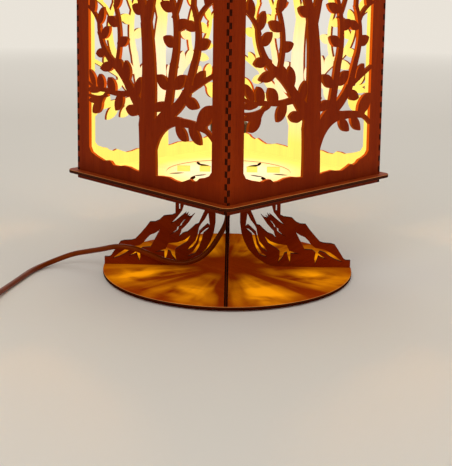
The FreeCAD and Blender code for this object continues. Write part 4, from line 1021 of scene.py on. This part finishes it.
class LANTERN_OT_lamp(bpy.types.Operator):
    """Make the bulb and finish the lamp holder's parts"""

    bl_idname = "lantern.lamp"
    bl_label = "Lamp"

    def execute(self, context):
        base = BULB_LOW.z / MM
        outline = [
            (0, 0), (6.2, 0), (6.6, 1.2), (8.6, 4.5), (11.4, 9.5), (13.3, 15.5), (14.0, 22.0),
            (14.0, 45.0), (13.7, 50.5), (12.4, 55.5), (10.2, 59.4), (7.2, 62.2), (3.8, 63.6), (0, 64),
        ]
        mesh = spun([(radius, base + height) for radius, height in outline], 64)
        bulb = settled("bulb_frosted", mesh, frosted_glass(), "stand", ["bulb_glass"])
        bulb.visible_shadow = False
        brass = metal("brass_fittings", (0.78, 0.52, 0.20), 0.30)
        dress("bulb_cap", metal("cap_metal", (0.70, 0.68, 0.62), 0.28))
        dress("bulb_filament", emitter())
        dress("terminal_block", ceramic())
        for node in ("stem_washer", "centre_contact", "thread_shell", "bulb_tip"):
            dress(node, brass)
        nut = merged_copy("stem_nut")
        soften(nut, 0.5 * MM)
        settled("stem_nut_chamfered", nut, brass, "stand", ["stem_nut"])
        self.stem(brass)
        self.holder(moulded("holder_plastic", colours().moulding, 0.42))
        return {"FINISHED"}

    def stem(self, brass):
        """The hollow stem with its thread as fine rings."""
        low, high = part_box("threaded_stem")
        base, top, radius = low.z / MM, high.z / MM, high.x / MM
        bore, pitch, depth = 3.4, 1.0, 0.35
        outline = [(bore, base), (radius - depth, base)]
        for turn in range(int((top - base) / pitch)):
            foot = base + turn * pitch
            outline += [(radius - depth, foot + 0.15), (radius, foot + 0.5), (radius - depth, foot + 0.85)]
        outline += [(radius - depth, top), (bore, top)]
        mesh = spun(outline, 48, closed=True)
        settled("threaded_stem_turned", mesh, brass, "stand", ["threaded_stem"])

    def holder(self, plastic):
        """The cup, the threaded sleeve and the knurled ring of the lamp holder."""
        cup_low, cup_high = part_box("holder_base")
        base, rim, radius = cup_low.z / MM, cup_high.z / MM, cup_high.x / MM
        inner = radius - 1.6
        cup = [(5.0, base), (inner - 2.4, base), (radius - 1.6, base + 0.8), (radius - 0.5, base + 2.2)]
        cup += ribs(radius, radius, base + 4.0, base + 13.0, 6, 0.5)
        cup += [(radius, base + 14.0), (radius, rim - 0.5), (radius - 0.4, rim), (inner, rim)]
        cup += [(inner, base + 3.0), (5.0, base + 3.0)]
        mesh = spun(cup, 64, closed=True)
        settled("holder_cup", mesh, plastic, "stand", ["holder_base"])
        sleeve_low, sleeve_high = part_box("holder_sleeve")
        foot, top = sleeve_low.z / MM, sleeve_high.z / MM
        sleeve = [(inner, foot), (radius - 0.4, foot), (radius, foot + 0.5), (radius, foot + 4.0)]
        sleeve += ribs(radius, radius, foot + 5.0, top - 2.0, 14, 0.45)
        sleeve += [(radius, top - 1.0), (radius - 0.5, top), (inner, top)]
        mesh = spun(sleeve, 64, closed=True)
        settled("holder_sleeve_threaded", mesh, plastic, "stand", ["holder_sleeve"])
        ring_low, ring_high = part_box("holder_ring")
        low, high, reach = ring_low.z / MM, ring_high.z / MM, ring_high.x / MM
        ring = [(radius, low), (reach - 1.0, low), (reach, low + 0.8), (reach, low + 2.0)]
        ring += [(reach, high - 2.0), (reach, high - 0.8), (reach - 1.0, high), (radius, high)]
        steps = 96
        mesh = spun(ring, steps, closed=True)
        for vert in mesh.verts:
            turn = round(math.atan2(vert.co.y, vert.co.x) * steps / FULL_TURN)
            if turn % 4 > 1 and vert.co.xy.length > (reach - 0.2) * MM:
                vert.co.xy *= (reach - 0.6) / reach
        settled("holder_ring_knurled", mesh, plastic, "stand", ["holder_ring"])


class LANTERN_OT_feet(bpy.types.Operator):
    """Finish the foot pads and the pads that the lantern turns on"""

    bl_idname = "lantern.feet"
    bl_label = "Feet and glides"

    def execute(self, context):
        rubber = moulded("pad_rubber", (0.012, 0.011, 0.010), 0.75)
        plastic = moulded("glide_plastic", (0.62, 0.60, 0.55), 0.35)
        for node, slot, name, finish, rounding in (
            ("foot_pads", "pad_rubber", "foot_pads_domed", rubber, 0.5),
            ("glide_pads", "glide_plastic", "glide_pads_eased", plastic, 0.15),
        ):
            mesh = merged_copy(node)
            soften(mesh, rounding * MM, 3)
            settled(name, mesh, finish, "stand", [node])
        return {"FINISHED"}


class LANTERN_OT_switch(bpy.types.Operator):
    """Finish the switch on the cord"""

    bl_idname = "lantern.switch"
    bl_label = "Switch"

    def execute(self, context):
        plastic = moulded("switch_plastic", colours().moulding, 0.34)
        low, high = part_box("switch_bottom")[0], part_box("switch_top")[1]
        middle, half = (low + high) / 2, (high - low) / 2

        def on_outline(place):
            beyond = Vector([
                max(abs(place[axis] - middle[axis]) - half[axis] + SWITCH_CORNER, 0.0) for axis in (0, 1)
            ])
            return abs(beyond.length - SWITCH_CORNER) < OUTLINE_SLACK

        def at_level(level):
            def test(place):
                return on_outline(place) and abs(place.z - level) < OUTLINE_SLACK

            return test

        for node, closed_level, name in (
            ("switch_bottom", low.z, "switch_bottom_rounded"),
            ("switch_top", high.z, "switch_top_rounded"),
        ):
            mesh = merged_copy(node)
            soften(mesh, 2.0 * MM, 5, at_level(closed_level))
            soften(mesh, 0.35 * MM, 2, at_level(middle.z))
            settled(name, mesh, plastic, "stand", [node])
        rocker = merged_copy("switch_rocker")
        soften(rocker, 0.5 * MM, 3)
        finish = moulded("rocker_plastic", (0.060, 0.018, 0.008), 0.26)
        settled("switch_rocker_rounded", rocker, finish, "rocker", ["switch_rocker"])
        steel = metal("screw_steel", (0.55, 0.55, 0.54), 0.32)
        dress("switch_screws", steel)
        dress("knob_screw", steel)
        dress("switch_contacts", metal("switch_brass", (0.78, 0.52, 0.20), 0.30))
        return {"FINISHED"}


class LANTERN_OT_plug(bpy.types.Operator):
    """Make the plug, its sleeve and the cord grip under the lamp"""

    bl_idname = "lantern.plug"
    bl_label = "Plug and grips"

    def execute(self, context):
        rubber = moulded("relief_rubber", (0.020, 0.008, 0.005), 0.55)
        grip = [(0, GRIP_LOW.z / MM), (2.6, GRIP_LOW.z / MM)]
        grip += ribs(3.4, 5.0, GRIP_LOW.z / MM, GRIP_HIGH.z / MM - 3.0, 7, 0.45)
        grip += [(5.0, GRIP_HIGH.z / MM - 2.6), (5.0, GRIP_HIGH.z / MM), (0, GRIP_HIGH.z / MM)]
        settled("cord_grip_ribbed", spun(grip, 40), rubber, "stand", ["cord_grip"])
        heading = Vector((math.cos(COIL_HEADING), math.sin(COIL_HEADING), 0))
        start = Vector(cord_route()[-1])
        sleeve = [(0, 0), (2.6, 0)]
        sleeve += ribs(3.5, 4.9, 0.0, 20.0, 8, 0.5)
        sleeve += [(4.9, 20.5), (4.9, PLUG_SLEEVE_LENGTH), (0, PLUG_SLEEVE_LENGTH)]
        mesh = aimed(spun(sleeve, 40), start, heading)
        settled("plug_sleeve_ribbed", mesh, rubber, "stand", ["plug_relief"])
        face = start + heading * ((PLUG_SLEEVE_LENGTH + PLUG_BODY_LENGTH) * MM)
        self.body(start + heading * (PLUG_SLEEVE_LENGTH * MM), heading)
        self.pins(face, heading)
        return {"FINISHED"}

    def body(self, start, heading):
        """A flat plug that widens from the cord, with ridges where fingers hold it."""
        stations = [(0.0, 5.2, 4.6, 2.2), (0.5, 6.2, 5.4, 2.3), (2.0, 8.0, 6.0, 2.6), (5.0, 11.0, 6.5, 3.0)]
        for ridge in range(6):
            along = 7.0 + 2.4 * ridge
            half_width = 12.6 + 0.55 * ridge
            stations += [(along, half_width - 0.8, 6.8, 3.4), (along + 0.6, half_width, 6.8, 3.4)]
            stations += [(along + 1.7, half_width + 0.1, 6.8, 3.4), (along + 2.2, half_width - 0.6, 6.8, 3.4)]
        stations += [(22.5, 16.6, 6.9, 4.5), (28.0, 17.4, 6.9, 5.0), (32.2, 17.4, 6.9, 5.0)]
        stations += [(33.3, 16.9, 6.4, 4.6), (34.0, 15.9, 5.4, 4.2)]
        mesh = lofted(stations, 64)
        turn = Matrix((UP.cross(heading), UP, heading)).transposed().to_4x4()
        bmesh.ops.transform(mesh, matrix=Matrix.Translation(start) @ turn, verts=mesh.verts)
        bmesh.ops.recalc_face_normals(mesh, faces=mesh.faces)
        finish = moulded("plug_plastic", colours().moulding, 0.40)
        settled("plug_body_moulded", mesh, finish, "stand", ["plug_body"])

    def pins(self, face, heading):
        """Two round pins with domed tips."""
        outline = [(0, 0), (2.0, 0), (2.0, 9.8), (1.85, 10.0), (1.85, 10.3), (2.0, 10.5), (2.0, 17.0)]
        outline += [(1.85, 17.9), (1.4, 18.6), (0.7, 18.93), (0, 19.0)]
        aside = UP.cross(heading) * (9.5 * MM)
        both = bpy.data.meshes.new("pins_drawn")
        mesh = bmesh.new()
        for place in (face + aside, face - aside):
            pin = aimed(spun(outline, 32), place, heading)
            pin.to_mesh(both)
            pin.free()
            mesh.from_mesh(both)
        steel = metal("pin_metal", (0.72, 0.70, 0.66), 0.22)
        settled("plug_pins_domed", mesh, steel, "stand", ["plug_pins"])


class LANTERN_OT_declare_cord(bpy.types.Operator):
    """Gather the pieces on the cord once they exist"""

    bl_idname = "lantern.declare_cord"
    bl_label = "Cord facts"

    def execute(self, context):
        made = (
            "cord_grip_ribbed", "switch_bottom_rounded", "switch_top_rounded", "switch_rocker_rounded",
            "plug_sleeve_ribbed", "plug_body_moulded", "plug_pins_domed",
        )
        with_pieces = [bpy.data.objects[name] for name in made]
        with_pieces += [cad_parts[name] for name in ("switch_screws", "switch_contacts")]
        return {"FINISHED"}


class LANTERN_PT_parts(bpy.types.Panel):
    """Lists the operators in the order in which they build the lantern"""

    bl_idname = "LANTERN_PT_parts"
    bl_label = "Tree Lantern"
    bl_space_type = "VIEW_3D"
    bl_region_type = "UI"
    bl_category = "Tree Lantern"

    def draw(self, context):
        for step in STEPS:
            self.layout.operator(step.bl_idname)
        for group in (sizes(), colours()):
            for name in group.__annotations__:
                self.layout.prop(group, name)


STEPS = (
    LANTERN_OT_stage,
    LANTERN_OT_cord,
    LANTERN_OT_plywood,
    LANTERN_OT_knob,
    LANTERN_OT_lamp,
    LANTERN_OT_feet,
    LANTERN_OT_switch,
    LANTERN_OT_plug,
    LANTERN_OT_declare_cord,
)
CLASSES = (LanternColours, LanternSizes, *STEPS, LANTERN_PT_parts)


def register():
    for item in CLASSES:
        bpy.utils.register_class(item)
    bpy.types.Scene.lantern_colours = PointerProperty(type=LanternColours)
    bpy.types.Scene.lantern_sizes = PointerProperty(type=LanternSizes)


def unregister():
    del bpy.types.Scene.lantern_sizes
    del bpy.types.Scene.lantern_colours
    for item in reversed(CLASSES):
        bpy.utils.unregister_class(item)


def main():
    register()
    for step in STEPS:
        group, name = step.bl_idname.split(".")
        getattr(getattr(bpy.ops, group), name)()


if __name__ == "__main__":
    main()
